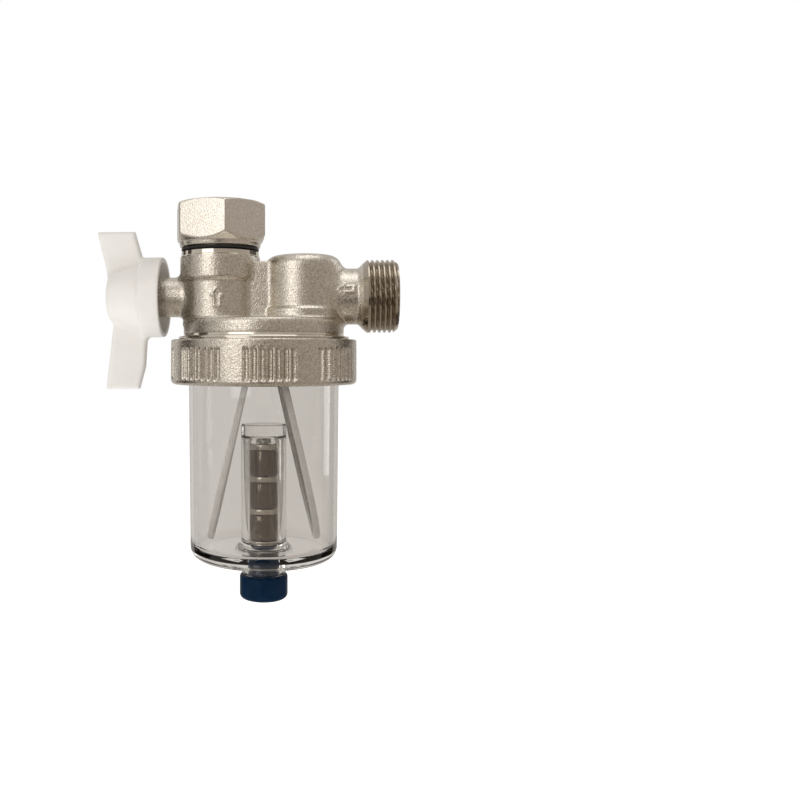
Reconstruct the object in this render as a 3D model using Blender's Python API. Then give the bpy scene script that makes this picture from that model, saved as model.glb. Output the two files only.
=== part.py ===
"""Magnetic system filter with a ball valve, for the pipe under a boiler.

The union nut on top screws to the boiler, and the port on the right takes the
return pipe. Water enters the port, drops into the bowl, passes the two mesh
screens and the magnets, and leaves upwards through the ball valve.

Origin: centre of the union gasket's upper face, on the valve's axis.
+X points to the port, +Z points up, and -Y is the front.
"""
import bpy
import bmesh
from math import atan, cos, pi, radians, sin, sqrt, tan
from mathutils import Matrix

MM = 0.001
GAP = 0.3 * MM           # clearance between two pieces that touch
BURY = 0.5 * MM          # how far a boss runs into the wall it is cast on
THROUGH = 1.0 * MM       # how far a cutter runs past the face it opens

# ---------------------------------------------------------------- layout
FILTER_X = 16.1 * MM                 # filter axis, measured from the valve axis
BOSS_X = FILTER_X + 14.5 * MM        # axis of the inlet boss
CROSS_Z = -24.9 * MM                 # height of the handle's and the port's axis

# ---------------------------------------------------------------- ball valve
BALL_BORE_R = 7.5 * MM
BALL_R = BALL_BORE_R + 2.7 * MM
BALL_ROOM_R = BALL_R + 0.6 * MM      # bore of the barrel around the ball
SEAT_HEIGHT = BALL_R - 0.8 * MM      # seat's flat face, from the ball's centre
SLOT_WIDTH = 4.0 * MM
SLOT_DEPTH = 2.6 * MM
STEM_R = 3.5 * MM
STEM_FLANGE_R = STEM_R + 1.5 * MM
STEM_FLANGE_THICK = 1.3 * MM
STEM_O_RING_R = 0.6 * MM             # radius of the O-ring's section
PACKING_R = STEM_R + 2 * STEM_O_RING_R + 2 * GAP
SEAT_EDGE = STEM_R + 0.7 * MM        # seat's inner edge clears the turning tongue
GLAND_SHANK = 2.7 * MM
GLAND_HEAD = 2.2 * MM
GLAND_FLATS = 2 * PACKING_R + 0.4 * MM

# ---------------------------------------------------------------- union
THREAD_MAJOR_R = 13.22 * MM          # G 3/4 thread
THREAD_MINOR_R = 12.06 * MM
THREAD_PITCH = 1.814 * MM
THREAD_RELIEF = 3.4 * MM             # plain bore above the nut's inner shoulder
THREAD_LEAD = 1.2 * MM               # chamfer at the thread's mouth
NUT_FLATS = 31.0 * MM
NUT_TOP = 9.3 * MM
NUT_HEX_BOTTOM = -5.2 * MM
NUT_BOTTOM = -6.9 * MM
NUT_COLLAR_R = 14.7 * MM
NUT_SHOULDER = 2.6 * MM              # thickness of the nut's inner shoulder
NUT_TOP_CHAMFER = radians(30)
NUT_TURN = radians(12.0)             # one corner points just right of the front
TAIL_R = BALL_ROOM_R - 0.6 * MM      # outside of the spigot's tube
TAIL_BORE_R = BALL_BORE_R + 0.3 * MM
GASKET_THICK = 1.8 * MM
GASKET_INSET = 0.4 * MM              # the gasket's hole clears the spigot's bore
RING_THICK = 0.9 * MM
RING_R = NUT_COLLAR_R - 0.4 * MM

# ---------------------------------------------------------------- bowl
BOWL_R = 27.5 * MM
BOWL_BOTTOM_R = BOWL_R - 0.65 * MM
BOWL_WALL = 2.5 * MM
BOWL_DEPTH = 70.2 * MM               # from the skirt's end to the bowl's underside
BOWL_FLOOR = 4.3 * MM
BOWL_ROUND = 4.5 * MM
BOWL_NECK = 6.0 * MM                 # length of the neck under the bowl
BOWL_FLANGE_THICK = 2.9 * MM
BOWL_FLANGE_WIDTH = 2.4 * MM
SEAL_R = 0.95 * MM                   # radius of the bowl seal's section

# ---------------------------------------------------------------- head
BARREL_NECK_R = BALL_ROOM_R + 2.7 * MM  # the barrel below its ledge
BARREL_R = BARREL_NECK_R + 1.2 * MM
BARREL_LEDGE_Z = -19.0 * MM
SHOULDER_R = BARREL_R - 0.4 * MM     # turned band at the top of the barrel
SHOULDER_HEIGHT = 2.0 * MM
SKIRT_R = BOWL_R + BOWL_FLANGE_WIDTH
SKIRT_BOTTOM_Z = -50.0 * MM
BASE_TOP_Z = -33.2 * MM
BASE_BOTTOM_Z = -38.8 * MM
BASE_R = SKIRT_R - 0.6 * MM
BASE_ROUND = 1.5 * MM
LIP_R = SKIRT_R + 1.3 * MM
LIP_DROP = 0.8 * MM                  # from the base's edge down to the lip
LIP_THICK = 0.8 * MM
CARRIER_SEAT_R = BOWL_R - BOWL_WALL + 0.6 * MM  # recess for the strainer's ring
CARRIER_SEAT_Z = SKIRT_BOTTOM_Z + 2.5 * MM
CHAMBER_R = CARRIER_SEAT_R - 1.0 * MM
CHAMBER_TOP_Z = -37.7 * MM
SEAL_MIDDLE_R = SKIRT_R - 2.1 * MM
WEB_HALF = 8.0 * MM                  # half thickness of the web between the bosses
WEB_TOP_Z = -12.4 * MM
BOSS_R = 14.0 * MM
BOSS_TOP_Z = -10.1 * MM
BOSS_ROUND = 4.2 * MM
BOSS_FOOT_R = BOSS_R + 1.0 * MM
BOSS_FOOT_Z = -29.1 * MM
BOSS_BORE_R = 9.0 * MM
BOSS_ROOF = 4.0 * MM
NECK_R = 10.2 * MM
NECK_END_X = BOSS_X + 19.9 * MM
PORT_START_X = NECK_END_X + 3.3 * MM
PORT_END_X = PORT_START_X + 11.0 * MM
PORT_BORE_R = 8.0 * MM
PORT_CHAMFER = 1.3 * MM
HANDLE_BOSS_R = PACKING_R + 2.05 * MM
HANDLE_BOSS_END_X = -BARREL_R - 9.5 * MM
PACKING_START_X = HANDLE_BOSS_END_X + 5.8 * MM
EDGE = 0.5 * MM                      # small chamfer on turned and cast edges

# ---------------------------------------------------------------- handle
CUP_RIM_X = HANDLE_BOSS_END_X + 3.5 * MM
CUP_FLOOR_X = HANDLE_BOSS_END_X - 2.9 * MM
CUP_START_X = CUP_FLOOR_X - 1.6 * MM
CUP_R = 14.75 * MM
CUP_WALL = 1.7 * MM
CUP_DRAFT = 0.6 * MM
STEM_END_X = HANDLE_BOSS_END_X - 10.6 * MM
HUB_R = 12.0 * MM
HUB_END_R = 9.3 * MM
HUB_END_X = STEM_END_X - 6.2 * MM
HUB_ROUND = 1.2 * MM
WING_THICK = 4.0 * MM
SCREW_HEAD_R = 3.4 * MM
SCREW_HEAD = 2.2 * MM
SCREW_RECESS = 1.2 * MM              # depth of the cross in the screw's head
SCREW_ARM = 0.4 * MM                 # half width of one arm of the cross
SCREW_REACH = 1.9 * MM
SCREW_R = 1.5 * MM
SCREW_LENGTH = 6.5 * MM
SCREW_WEB = 1.6 * MM                 # plastic left under the screw's head
# Edges of the wings in millimetres, X from the hub's end and Z from the cross axis.
UPPER_WING = ((1.4, 5.0), (-0.9, 9.0), (-4.9, 22.6), (-3.6, 24.4), (8.0, 24.4),
              (9.3, 23.6), (12.0, 14.8), (12.0, 5.0))
LOWER_WING = ((2.4, -5.0), (1.1, -11.0), (-1.5, -32.4), (-0.4, -34.0), (9.8, -34.0),
              (11.3, -32.8), (13.4, -25.6), (13.8, -15.0), (10.6, -13.0), (10.6, -5.0))

# ---------------------------------------------------------------- ring nut
SLIP_THICK = 0.8 * MM
RING_NUT_BORE_R = SKIRT_R + 0.4 * MM
RING_NUT_R = RING_NUT_BORE_R + 3.6 * MM
RING_NUT_MOUTH_R = BOWL_R + 0.4 * MM
RING_NUT_HEIGHT = 16.1 * MM
RING_NUT_ROUND = 1.6 * MM
GROOVE_GROUPS = 8
GROOVES = 7                          # grooves in one group
GROOVE_PITCH = radians(4.6)
GROOVE_R = 1.0 * MM
GROOVE_TOP = 3.4 * MM                # plain band above the grooves
GROOVE_BOTTOM = 1.5 * MM             # plain band below them
RING_NUT_TURN = radians(-82.5)       # middle of the front group

# ---------------------------------------------------------------- magnet cartridge
MAGNET_R = 5.25 * MM
MAGNET_LENGTH = 9.1 * MM
MAGNETS = 3
PLATE_R = MAGNET_R + 0.15 * MM
PLATE_THICK = 2.0 * MM
POCKET_BORE_R = MAGNET_R + 0.65 * MM
POCKET_R = POCKET_BORE_R + 2.35 * MM
POCKET_ROOF = 4.1 * MM
POCKET_FOOT_R = POCKET_R + 2.25 * MM
BOWL_NECK_R = POCKET_BORE_R + 2.2 * MM
SHANK_R = POCKET_BORE_R - GAP
CAP_R = BOWL_NECK_R + 0.7 * MM
CAP_HEIGHT = 8.8 * MM
CAP_ROUND = 1.6 * MM
CAP_O_RING_R = 0.6 * MM
CAP_O_RING_DROP = 1.5 * MM           # from the shank's middle down to its O-ring
TIE_R = 1.5 * MM
TIE_HEAD_FLATS = 5.4 * MM
TIE_HEAD = 2.3 * MM
TIE_THREAD = 7.0 * MM                # how far the screw runs into the cap's shank

# ---------------------------------------------------------------- strainer
STRAINER_TURN = radians(5.0)
RIDGE_Z = -38.3 * MM
RIDGE_HALF = 2.4 * MM                # from the fold to a screen's middle, at the ridge
SCREEN_STRAIGHT_Z = SKIRT_BOTTOM_Z - 6.0 * MM  # a half ellipse starts below this
SCREEN_HALF = BOWL_R - BOWL_WALL - 2.6 * MM
SCREEN_LIFT = 2.3 * MM               # from the bowl's floor up to the screens
SCREEN_SPREAD = SCREEN_HALF - 2.82 * MM  # from the fold to a screen's lower end
FRAME_THICK = 2.2 * MM
FRAME_BORDER = 2.4 * MM
MESH_THICK = 0.5 * MM
CARRIER_WALL = 2.0 * MM
TAB_HALF = 1.4 * MM                  # half width of the tabs on the strainer's ring

# ---------------------------------------------------------------- worked-out places
RING_TOP_Z = NUT_BOTTOM - GAP
BARREL_TOP_Z = RING_TOP_Z - RING_THICK - GAP
NUT_SHOULDER_Z = NUT_BOTTOM + NUT_SHOULDER
NUT_BORE_R = TAIL_R + 0.4 * MM
FLANGE_BOTTOM_Z = NUT_SHOULDER_Z + GAP
FLANGE_TOP_Z = -GASKET_THICK - GAP
FLANGE_R = THREAD_MINOR_R - GAP
SEAT_TOP_Z = CROSS_Z + SEAT_HEIGHT
SEAT_BOTTOM_Z = CROSS_Z - SEAT_HEIGHT
TAIL_BOTTOM_Z = SEAT_TOP_Z + GAP
STEP_Z = SEAT_BOTTOM_Z - GAP         # ledge under the lower seat
LIP_TOP_Z = BASE_BOTTOM_Z - LIP_DROP
RING_NUT_TOP_Z = LIP_TOP_Z - LIP_THICK - GAP
RING_NUT_BOTTOM_Z = RING_NUT_TOP_Z - RING_NUT_HEIGHT
BOWL_TOP_Z = SKIRT_BOTTOM_Z - GAP
FLANGE_UNDER_Z = BOWL_TOP_Z - BOWL_FLANGE_THICK
SLIP_TOP_Z = FLANGE_UNDER_Z - GAP
RING_SHOULDER_Z = SLIP_TOP_Z - SLIP_THICK - GAP
BOWL_BOTTOM_Z = SKIRT_BOTTOM_Z - BOWL_DEPTH
BOWL_FLOOR_Z = BOWL_BOTTOM_Z + BOWL_FLOOR
BOWL_NECK_Z = BOWL_BOTTOM_Z - BOWL_NECK
SCREEN_END_Z = BOWL_FLOOR_Z + SCREEN_LIFT
SCREEN_LEAN = atan((SCREEN_SPREAD - RIDGE_HALF) / (RIDGE_Z - SCREEN_END_Z))
CAP_TOP_Z = BOWL_NECK_Z - GAP
SHANK_TOP_Z = BOWL_FLOOR_Z
PLATE_STEP = PLATE_THICK + MAGNET_LENGTH + 2 * GAP
STACK_TOP_Z = SHANK_TOP_Z + GAP + MAGNETS * PLATE_STEP + PLATE_THICK
TIE_TOP_Z = STACK_TOP_Z + GAP + TIE_HEAD
POCKET_CEILING_Z = TIE_TOP_Z + GAP
POCKET_TOP_Z = POCKET_CEILING_Z + POCKET_ROOF

VALVE_AXIS = (0.0, 0.0)
FILTER_AXIS = (FILTER_X, 0.0)


# ---------------------------------------------------------------- helpers
def clear_scene():
    """Start from an empty file."""
    for thing in list(bpy.data.objects):
        bpy.data.objects.remove(thing, do_unlink=True)
    for mesh in list(bpy.data.meshes):
        bpy.data.meshes.remove(mesh)


def finish(name, bm):
    """Turn a bmesh into a named object."""
    bmesh.ops.remove_doubles(bm, verts=bm.verts, dist=1e-7)
    bmesh.ops.recalc_face_normals(bm, faces=bm.faces)
    mesh = bpy.data.meshes.new(name)
    bm.to_mesh(mesh)
    bm.free()
    thing = bpy.data.objects.new(name, mesh)
    bpy.context.collection.objects.link(thing)
    return thing


def turned(name, outline, centre=VALVE_AXIS, along="Z", steps=40):
    """Turn a closed outline of (radius, height) points about Z, or about X at CROSS_Z."""
    bm = bmesh.new()
    corners = [bm.verts.new((radius, 0, height)) for radius, height in outline]
    for start, end in zip(corners, corners[1:] + corners[:1]):
        if max(start.co.x, end.co.x) > 0:
            bm.edges.new((start, end))
    bmesh.ops.spin(bm, geom=bm.verts[:] + bm.edges[:], cent=(0, 0, 0), axis=(0, 0, 1),
                   angle=2 * pi, steps=steps, use_merge=True)
    bmesh.ops.remove_doubles(bm, verts=bm.verts, dist=1e-7)
    bmesh.ops.dissolve_degenerate(bm, dist=1e-8, edges=bm.edges)
    if along == "X":
        bmesh.ops.transform(bm, matrix=Matrix.Rotation(pi / 2, 4, "Y"), verts=bm.verts)
        bmesh.ops.translate(bm, vec=(0, 0, CROSS_Z), verts=bm.verts)
    else:
        bmesh.ops.translate(bm, vec=(centre[0], centre[1], 0), verts=bm.verts)
    return finish(name, bm)


def disc(name, radius, low, high, centre=VALVE_AXIS, along="Z", steps=40):
    """A plain round bar, used for cuts and bosses."""
    outline = [(0, low), (radius, low), (radius, high), (0, high)]
    return turned(name, outline, centre, along, steps)


def pipe(name, inner, outer, low, high, centre=VALVE_AXIS, along="Z", steps=40):
    """A plain round tube."""
    outline = [(inner, low), (outer, low), (outer, high), (inner, high)]
    return turned(name, outline, centre, along, steps)


def o_ring(name, middle, section, height, centre=VALVE_AXIS, along="Z", steps=20):
    """A rubber ring with a round section."""
    outline = [(middle + section * cos(a * pi / 3), height + section * sin(a * pi / 3)) for a in range(6)]
    return turned(name, outline, centre, along, steps)


def block(name, low, high):
    """A box between two corners."""
    bm = bmesh.new()
    bmesh.ops.create_cube(bm, size=1)
    size = [high[i] - low[i] for i in range(3)]
    middle = [(high[i] + low[i]) / 2 for i in range(3)]
    bmesh.ops.scale(bm, vec=size, verts=bm.verts)
    bmesh.ops.translate(bm, vec=middle, verts=bm.verts)
    return finish(name, bm)


def hexagon(name, flats, low, high, centre=VALVE_AXIS, along="Z", turn=0.0):
    """A hexagon bar; turn swings its first corner from +X, or from -Z along X."""
    bar = disc(name, flats / sqrt(3), low, high, (0, 0), "Z", steps=6)
    move = Matrix.Translation((centre[0], centre[1], 0))
    if along == "X":
        move = Matrix.Translation((0, 0, CROSS_Z)) @ Matrix.Rotation(pi / 2, 4, "Y")
    bar.data.transform(move @ Matrix.Rotation(turn, 4, "Z"))
    return bar


def plate(name, outline, thick):
    """A flat plate whose outline lies in XZ, with its thickness along Y."""
    bm = bmesh.new()
    face = bm.faces.new([bm.verts.new((x, -thick / 2, z)) for x, z in outline])
    grown = bmesh.ops.extrude_face_region(bm, geom=[face])
    moved = [v for v in grown["geom"] if isinstance(v, bmesh.types.BMVert)]
    bmesh.ops.translate(bm, vec=(0, thick, 0), verts=moved)
    return finish(name, bm)


def combine(target, tools, operation):
    """Join tools to the target or cut them out of it, and drop the tools."""
    for tool in tools:
        step = target.modifiers.new(operation, "BOOLEAN")
        step.operation = operation
        step.solver = "EXACT"
        step.object = tool
        bpy.context.view_layer.update()
        evaluated = target.evaluated_get(bpy.context.evaluated_depsgraph_get())
        mesh = bpy.data.meshes.new_from_object(evaluated)
        target.modifiers.clear()
        target.data = mesh
        bpy.data.objects.remove(tool, do_unlink=True)
    return target


def join(target, *tools):
    return combine(target, tools, "UNION")


def cut(target, *tools):
    return combine(target, tools, "DIFFERENCE")


def paint(thing, colour, roughness, metallic=0.0, alpha=1.0):
    """Give a piece its own material and smooth shading."""
    material = bpy.data.materials.new(thing.name)
    material.use_nodes = True
    shader = material.node_tree.nodes["Principled BSDF"]
    shader.inputs["Base Color"].default_value = (*colour, 1)
    shader.inputs["Roughness"].default_value = roughness
    shader.inputs["Metallic"].default_value = metallic
    shader.inputs["Alpha"].default_value = alpha
    thing.data.materials.clear()
    thing.data.materials.append(material)
    thing.data.shade_smooth()
    thing.data.set_sharp_from_angle(angle=radians(30))
    return thing


def nickel(thing):
    return paint(thing, (0.62, 0.58, 0.52), 0.35, 1.0)


def steel(thing):
    return paint(thing, (0.55, 0.52, 0.5), 0.15, 1.0)


def rubber(thing):
    return paint(thing, (0.02, 0.02, 0.02), 0.7)


def white_plastic(thing):
    return paint(thing, (0.85, 0.84, 0.82), 0.3)


def thread_outline(start, end, crest, root):
    """Annular threads from start to end, as (radius, height) points on the crest's side."""
    turns = int(abs(end - start) / THREAD_PITCH)
    step = (end - start) / turns
    points = []
    for turn in range(turns):
        points.append((crest, start + (turn + 0.15) * step))
        points.append((root, start + (turn + 0.5) * step))
        points.append((crest, start + (turn + 0.85) * step))
    return points


# ---------------------------------------------------------------- head
def filter_head():
    """The cast body: valve barrel, web, inlet boss, port and round base."""
    groove = SEAL_R + GAP
    groove_top = SKIRT_BOTTOM_Z + 2 * SEAL_R + GAP
    base = [(0, BASE_TOP_Z), (BASE_R - BASE_ROUND, BASE_TOP_Z),
            (BASE_R - 0.3 * BASE_ROUND, BASE_TOP_Z - 0.3 * BASE_ROUND), (BASE_R, BASE_TOP_Z - BASE_ROUND),
            (BASE_R, BASE_BOTTOM_Z), (BASE_R + EDGE, LIP_TOP_Z),
            (LIP_R, LIP_TOP_Z), (LIP_R, LIP_TOP_Z - LIP_THICK), (SKIRT_R, LIP_TOP_Z - LIP_THICK),
            (SKIRT_R, SKIRT_BOTTOM_Z), (SEAL_MIDDLE_R + groove, SKIRT_BOTTOM_Z),
            (SEAL_MIDDLE_R + groove, groove_top), (SEAL_MIDDLE_R - groove, groove_top),
            (SEAL_MIDDLE_R - groove, SKIRT_BOTTOM_Z), (CARRIER_SEAT_R, SKIRT_BOTTOM_Z),
            (CARRIER_SEAT_R, CARRIER_SEAT_Z), (CHAMBER_R, CARRIER_SEAT_Z), (CHAMBER_R, CHAMBER_TOP_Z),
            (0, CHAMBER_TOP_Z)]
    head = turned("filter_head", base, FILTER_AXIS)
    shoulder = BARREL_TOP_Z - SHOULDER_HEIGHT
    barrel = [(0, BARREL_TOP_Z), (SHOULDER_R, BARREL_TOP_Z), (SHOULDER_R, shoulder + GAP),
              (BARREL_R, shoulder), (BARREL_R, BARREL_LEDGE_Z + EDGE),
              (BARREL_NECK_R, BARREL_LEDGE_Z - EDGE),
              (BARREL_NECK_R, BASE_TOP_Z + 2 * EDGE), (BARREL_NECK_R + 2 * EDGE, BASE_TOP_Z - BURY),
              (0, BASE_TOP_Z - BURY)]
    boss = [(0, BOSS_TOP_Z)]
    for step in range(6):
        turn = step * pi / 10
        boss.append((BOSS_R - BOSS_ROUND * (1 - sin(turn)), BOSS_TOP_Z - BOSS_ROUND * (1 - cos(turn))))
    boss += [(BOSS_R, BOSS_FOOT_Z + 2 * EDGE), (BOSS_FOOT_R, BOSS_FOOT_Z),
             (BOSS_FOOT_R, BASE_TOP_Z - 2 * BURY), (0, BASE_TOP_Z - 2 * BURY)]
    web = block("web", (0, -WEB_HALF, BASE_TOP_Z - 3 * BURY), (BOSS_X, WEB_HALF, WEB_TOP_Z))
    port = [(0, BOSS_X), (NECK_R, BOSS_X), (NECK_R, NECK_END_X), (THREAD_MAJOR_R, PORT_START_X)]
    port += thread_outline(PORT_START_X, PORT_END_X - PORT_CHAMFER, THREAD_MAJOR_R, THREAD_MINOR_R)
    port += [(THREAD_MAJOR_R, PORT_END_X - PORT_CHAMFER), (THREAD_MAJOR_R - PORT_CHAMFER, PORT_END_X),
             (0, PORT_END_X)]
    join(head, turned("barrel", barrel), turned("boss", boss, (BOSS_X, 0)), web,
         turned("port", port, along="X", steps=32),
         turned("handle_boss", [(0, 0), (HANDLE_BOSS_R, 0), (HANDLE_BOSS_R, HANDLE_BOSS_END_X + EDGE),
                                (HANDLE_BOSS_R - EDGE, HANDLE_BOSS_END_X), (0, HANDLE_BOSS_END_X)],
                along="X", steps=32))
    flange_room_x = -BALL_ROOM_R - STEM_FLANGE_THICK - 2 * GAP
    valve_way = [(0, BARREL_TOP_Z + THROUGH), (BALL_ROOM_R, BARREL_TOP_Z + THROUGH), (BALL_ROOM_R, STEP_Z),
                 (BALL_BORE_R, STEP_Z), (BALL_BORE_R, CHAMBER_TOP_Z - THROUGH), (0, CHAMBER_TOP_Z - THROUGH)]
    stem_way = [(0, 0), (STEM_FLANGE_R + GAP, 0), (STEM_FLANGE_R + GAP, flange_room_x),
                (STEM_R + GAP, flange_room_x), (STEM_R + GAP, PACKING_START_X), (PACKING_R, PACKING_START_X),
                (PACKING_R, HANDLE_BOSS_END_X - THROUGH), (0, HANDLE_BOSS_END_X - THROUGH)]
    ways = join(turned("valve_way", valve_way, steps=32), turned("stem_way", stem_way, along="X", steps=24),
                disc("boss_bore", BOSS_BORE_R, CHAMBER_TOP_Z - THROUGH, BOSS_TOP_Z - BOSS_ROOF,
                     (BOSS_X, 0), steps=32),
                disc("port_bore", PORT_BORE_R, BOSS_X, PORT_END_X + THROUGH, along="X", steps=32))
    cut(head, ways)
    return nickel(head)


# ---------------------------------------------------------------- union
def union_spigot():
    """Tail piece: its flange holds the nut, and its tube clamps the ball's seats."""
    outline = [(TAIL_BORE_R, FLANGE_TOP_Z), (FLANGE_R, FLANGE_TOP_Z), (FLANGE_R, FLANGE_BOTTOM_Z),
               (TAIL_R, FLANGE_BOTTOM_Z), (TAIL_R, TAIL_BOTTOM_Z), (TAIL_BORE_R, TAIL_BOTTOM_Z)]
    return nickel(turned("union_spigot", outline, steps=32))


def union_nut():
    """Swivel nut with a 45 degree chamfer under the hexagon and a turned collar."""
    corner_r = NUT_FLATS / sqrt(3)
    flat_r = NUT_FLATS / 2
    rise = corner_r - flat_r
    top_rise = rise * tan(NUT_TOP_CHAMFER)
    bar = hexagon("union_nut", NUT_FLATS, NUT_BOTTOM - THROUGH, NUT_TOP + THROUGH,
                  turn=radians(-90) + NUT_TURN)
    envelope = [(0, NUT_TOP), (flat_r, NUT_TOP), (corner_r + BURY, NUT_TOP - top_rise),
                (corner_r + BURY, NUT_HEX_BOTTOM + rise + BURY), (flat_r, NUT_HEX_BOTTOM),
                (NUT_COLLAR_R, NUT_BOTTOM), (0, NUT_BOTTOM)]
    combine(bar, [turned("envelope", envelope)], "INTERSECT")
    bore = [(0, NUT_BOTTOM - THROUGH), (NUT_BORE_R, NUT_BOTTOM - THROUGH), (NUT_BORE_R, NUT_SHOULDER_Z),
            (THREAD_MINOR_R, NUT_SHOULDER_Z)]
    bore += thread_outline(NUT_SHOULDER_Z + THREAD_RELIEF, NUT_TOP - THREAD_LEAD,
                           THREAD_MINOR_R, THREAD_MAJOR_R)
    bore += [(THREAD_MINOR_R, NUT_TOP - THREAD_LEAD), (THREAD_MAJOR_R, NUT_TOP),
             (THREAD_MAJOR_R, NUT_TOP + THROUGH), (0, NUT_TOP + THROUGH)]
    return nickel(cut(bar, turned("bore", bore, steps=32)))


# ---------------------------------------------------------------- ball valve
def ball():
    """Drilled ball with a slot for the stem."""
    bm = bmesh.new()
    bmesh.ops.create_uvsphere(bm, u_segments=24, v_segments=14, radius=BALL_R)
    bmesh.ops.translate(bm, vec=(0, 0, CROSS_Z), verts=bm.verts)
    body = finish("ball", bm)
    bore = disc("bore", BALL_BORE_R, CROSS_Z - 2 * BALL_R, CROSS_Z + 2 * BALL_R, steps=32)
    slot = block("slot", (-2 * BALL_R, -2 * BALL_R, CROSS_Z - SLOT_WIDTH / 2),
                 (-BALL_R + SLOT_DEPTH, 2 * BALL_R, CROSS_Z + SLOT_WIDTH / 2))
    return steel(cut(body, bore, slot))


def ball_seat(name, side):
    """Seat ring whose inner face follows the ball; side is 1 above it and -1 below it."""
    outer = BALL_ROOM_R - GAP
    reach = BALL_R + GAP
    edge_r = sqrt(reach ** 2 - SEAT_EDGE ** 2)
    outline = [(outer, CROSS_Z + side * SEAT_HEIGHT), (BALL_BORE_R, CROSS_Z + side * SEAT_HEIGHT)]
    for step in range(4):
        radius = BALL_BORE_R + (edge_r - BALL_BORE_R) * step / 3
        outline.append((radius, CROSS_Z + side * sqrt(reach ** 2 - radius ** 2)))
    outline.append((outer, CROSS_Z + side * SEAT_EDGE))
    return paint(turned(name, outline, steps=24), (0.9, 0.9, 0.88), 0.5)


def valve_stem():
    """Stem along X: a tongue in the ball's slot, a flange, a shaft and a screw hole."""
    start = -BALL_ROOM_R - GAP
    flange_end = start - STEM_FLANGE_THICK
    outline = [(0, start), (STEM_FLANGE_R, start), (STEM_FLANGE_R, flange_end), (STEM_R, flange_end),
               (STEM_R, STEM_END_X), (0, STEM_END_X)]
    stem = turned("valve_stem", outline, along="X", steps=32)
    half = SLOT_WIDTH / 2 - GAP
    tongue = block("tongue", (start - BURY, -STEM_R, CROSS_Z - half),
                   (-BALL_R + SLOT_DEPTH - GAP, STEM_R, CROSS_Z + half))
    hole = disc("hole", SCREW_R + GAP, STEM_END_X - THROUGH, STEM_END_X + SCREW_LENGTH, along="X", steps=20)
    return steel(cut(join(stem, tongue), hole))


def gland_nut():
    """Small nut in the mouth of the handle boss."""
    head_start = HANDLE_BOSS_END_X - GAP
    nut = hexagon("gland_nut", GLAND_FLATS, head_start - GLAND_HEAD, head_start, along="X")
    shank = disc("shank", PACKING_R - GAP, head_start - BURY, HANDLE_BOSS_END_X + GLAND_SHANK,
                 along="X", steps=32)
    bore = disc("bore", STEM_R + GAP, head_start - GLAND_HEAD - THROUGH,
                HANDLE_BOSS_END_X + GLAND_SHANK + THROUGH, along="X", steps=32)
    return nickel(cut(join(nut, shank), bore))


# ---------------------------------------------------------------- handle
def handle():
    """Butterfly handle: a cup over the gland, a hub, a short and a long wing."""
    outline = [(0, HUB_END_X), (HUB_END_R - HUB_ROUND, HUB_END_X),
               (HUB_END_R - 0.3 * HUB_ROUND, HUB_END_X + 0.3 * HUB_ROUND),
               (HUB_END_R, HUB_END_X + HUB_ROUND), (HUB_R, CUP_START_X - HUB_ROUND),
               (CUP_R - HUB_ROUND, CUP_START_X), (CUP_R, CUP_START_X + HUB_ROUND), (CUP_R, CUP_RIM_X),
               (CUP_R - CUP_WALL, CUP_RIM_X), (CUP_R - CUP_WALL - CUP_DRAFT, CUP_FLOOR_X), (0, CUP_FLOOR_X)]
    grip = turned("handle", outline, along="X")
    for name, edge in (("upper_wing", UPPER_WING), ("lower_wing", LOWER_WING)):
        outline = [(HUB_END_X + x * MM, CROSS_Z + z * MM) for x, z in edge]
        join(grip, plate(name, outline, WING_THICK))
    web_x = STEM_END_X - GAP
    under_head = web_x - SCREW_WEB
    screw_way = [(0, HUB_END_X - THROUGH), (SCREW_HEAD_R + GAP, HUB_END_X - THROUGH),
                 (SCREW_HEAD_R + GAP, under_head), (SCREW_R + GAP, under_head), (SCREW_R + GAP, web_x),
                 (STEM_R + GAP, web_x), (STEM_R + GAP, CUP_FLOOR_X + THROUGH), (0, CUP_FLOOR_X + THROUGH)]
    return white_plastic(cut(grip, turned("screw_way", screw_way, along="X", steps=24)))


def handle_screw():
    """Pan-head screw with a cross recess, in the hub's outer end."""
    under = STEM_END_X - 2 * GAP - SCREW_WEB
    outline = [(0, under - SCREW_HEAD), (SCREW_HEAD_R - 2 * EDGE, under - SCREW_HEAD),
               (SCREW_HEAD_R, under - SCREW_HEAD + 2 * EDGE), (SCREW_HEAD_R, under), (SCREW_R, under),
               (SCREW_R, STEM_END_X + SCREW_LENGTH - GAP), (0, STEM_END_X + SCREW_LENGTH - GAP)]
    screw = turned("handle_screw", outline, along="X", steps=24)
    start_x, floor_x = under - 2 * SCREW_HEAD, under - SCREW_HEAD + SCREW_RECESS
    for y, z in ((SCREW_ARM, SCREW_REACH), (SCREW_REACH, SCREW_ARM)):
        cut(screw, block("slot", (start_x, -y, CROSS_Z - z), (floor_x, y, CROSS_Z + z)))
    return steel(screw)


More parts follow.
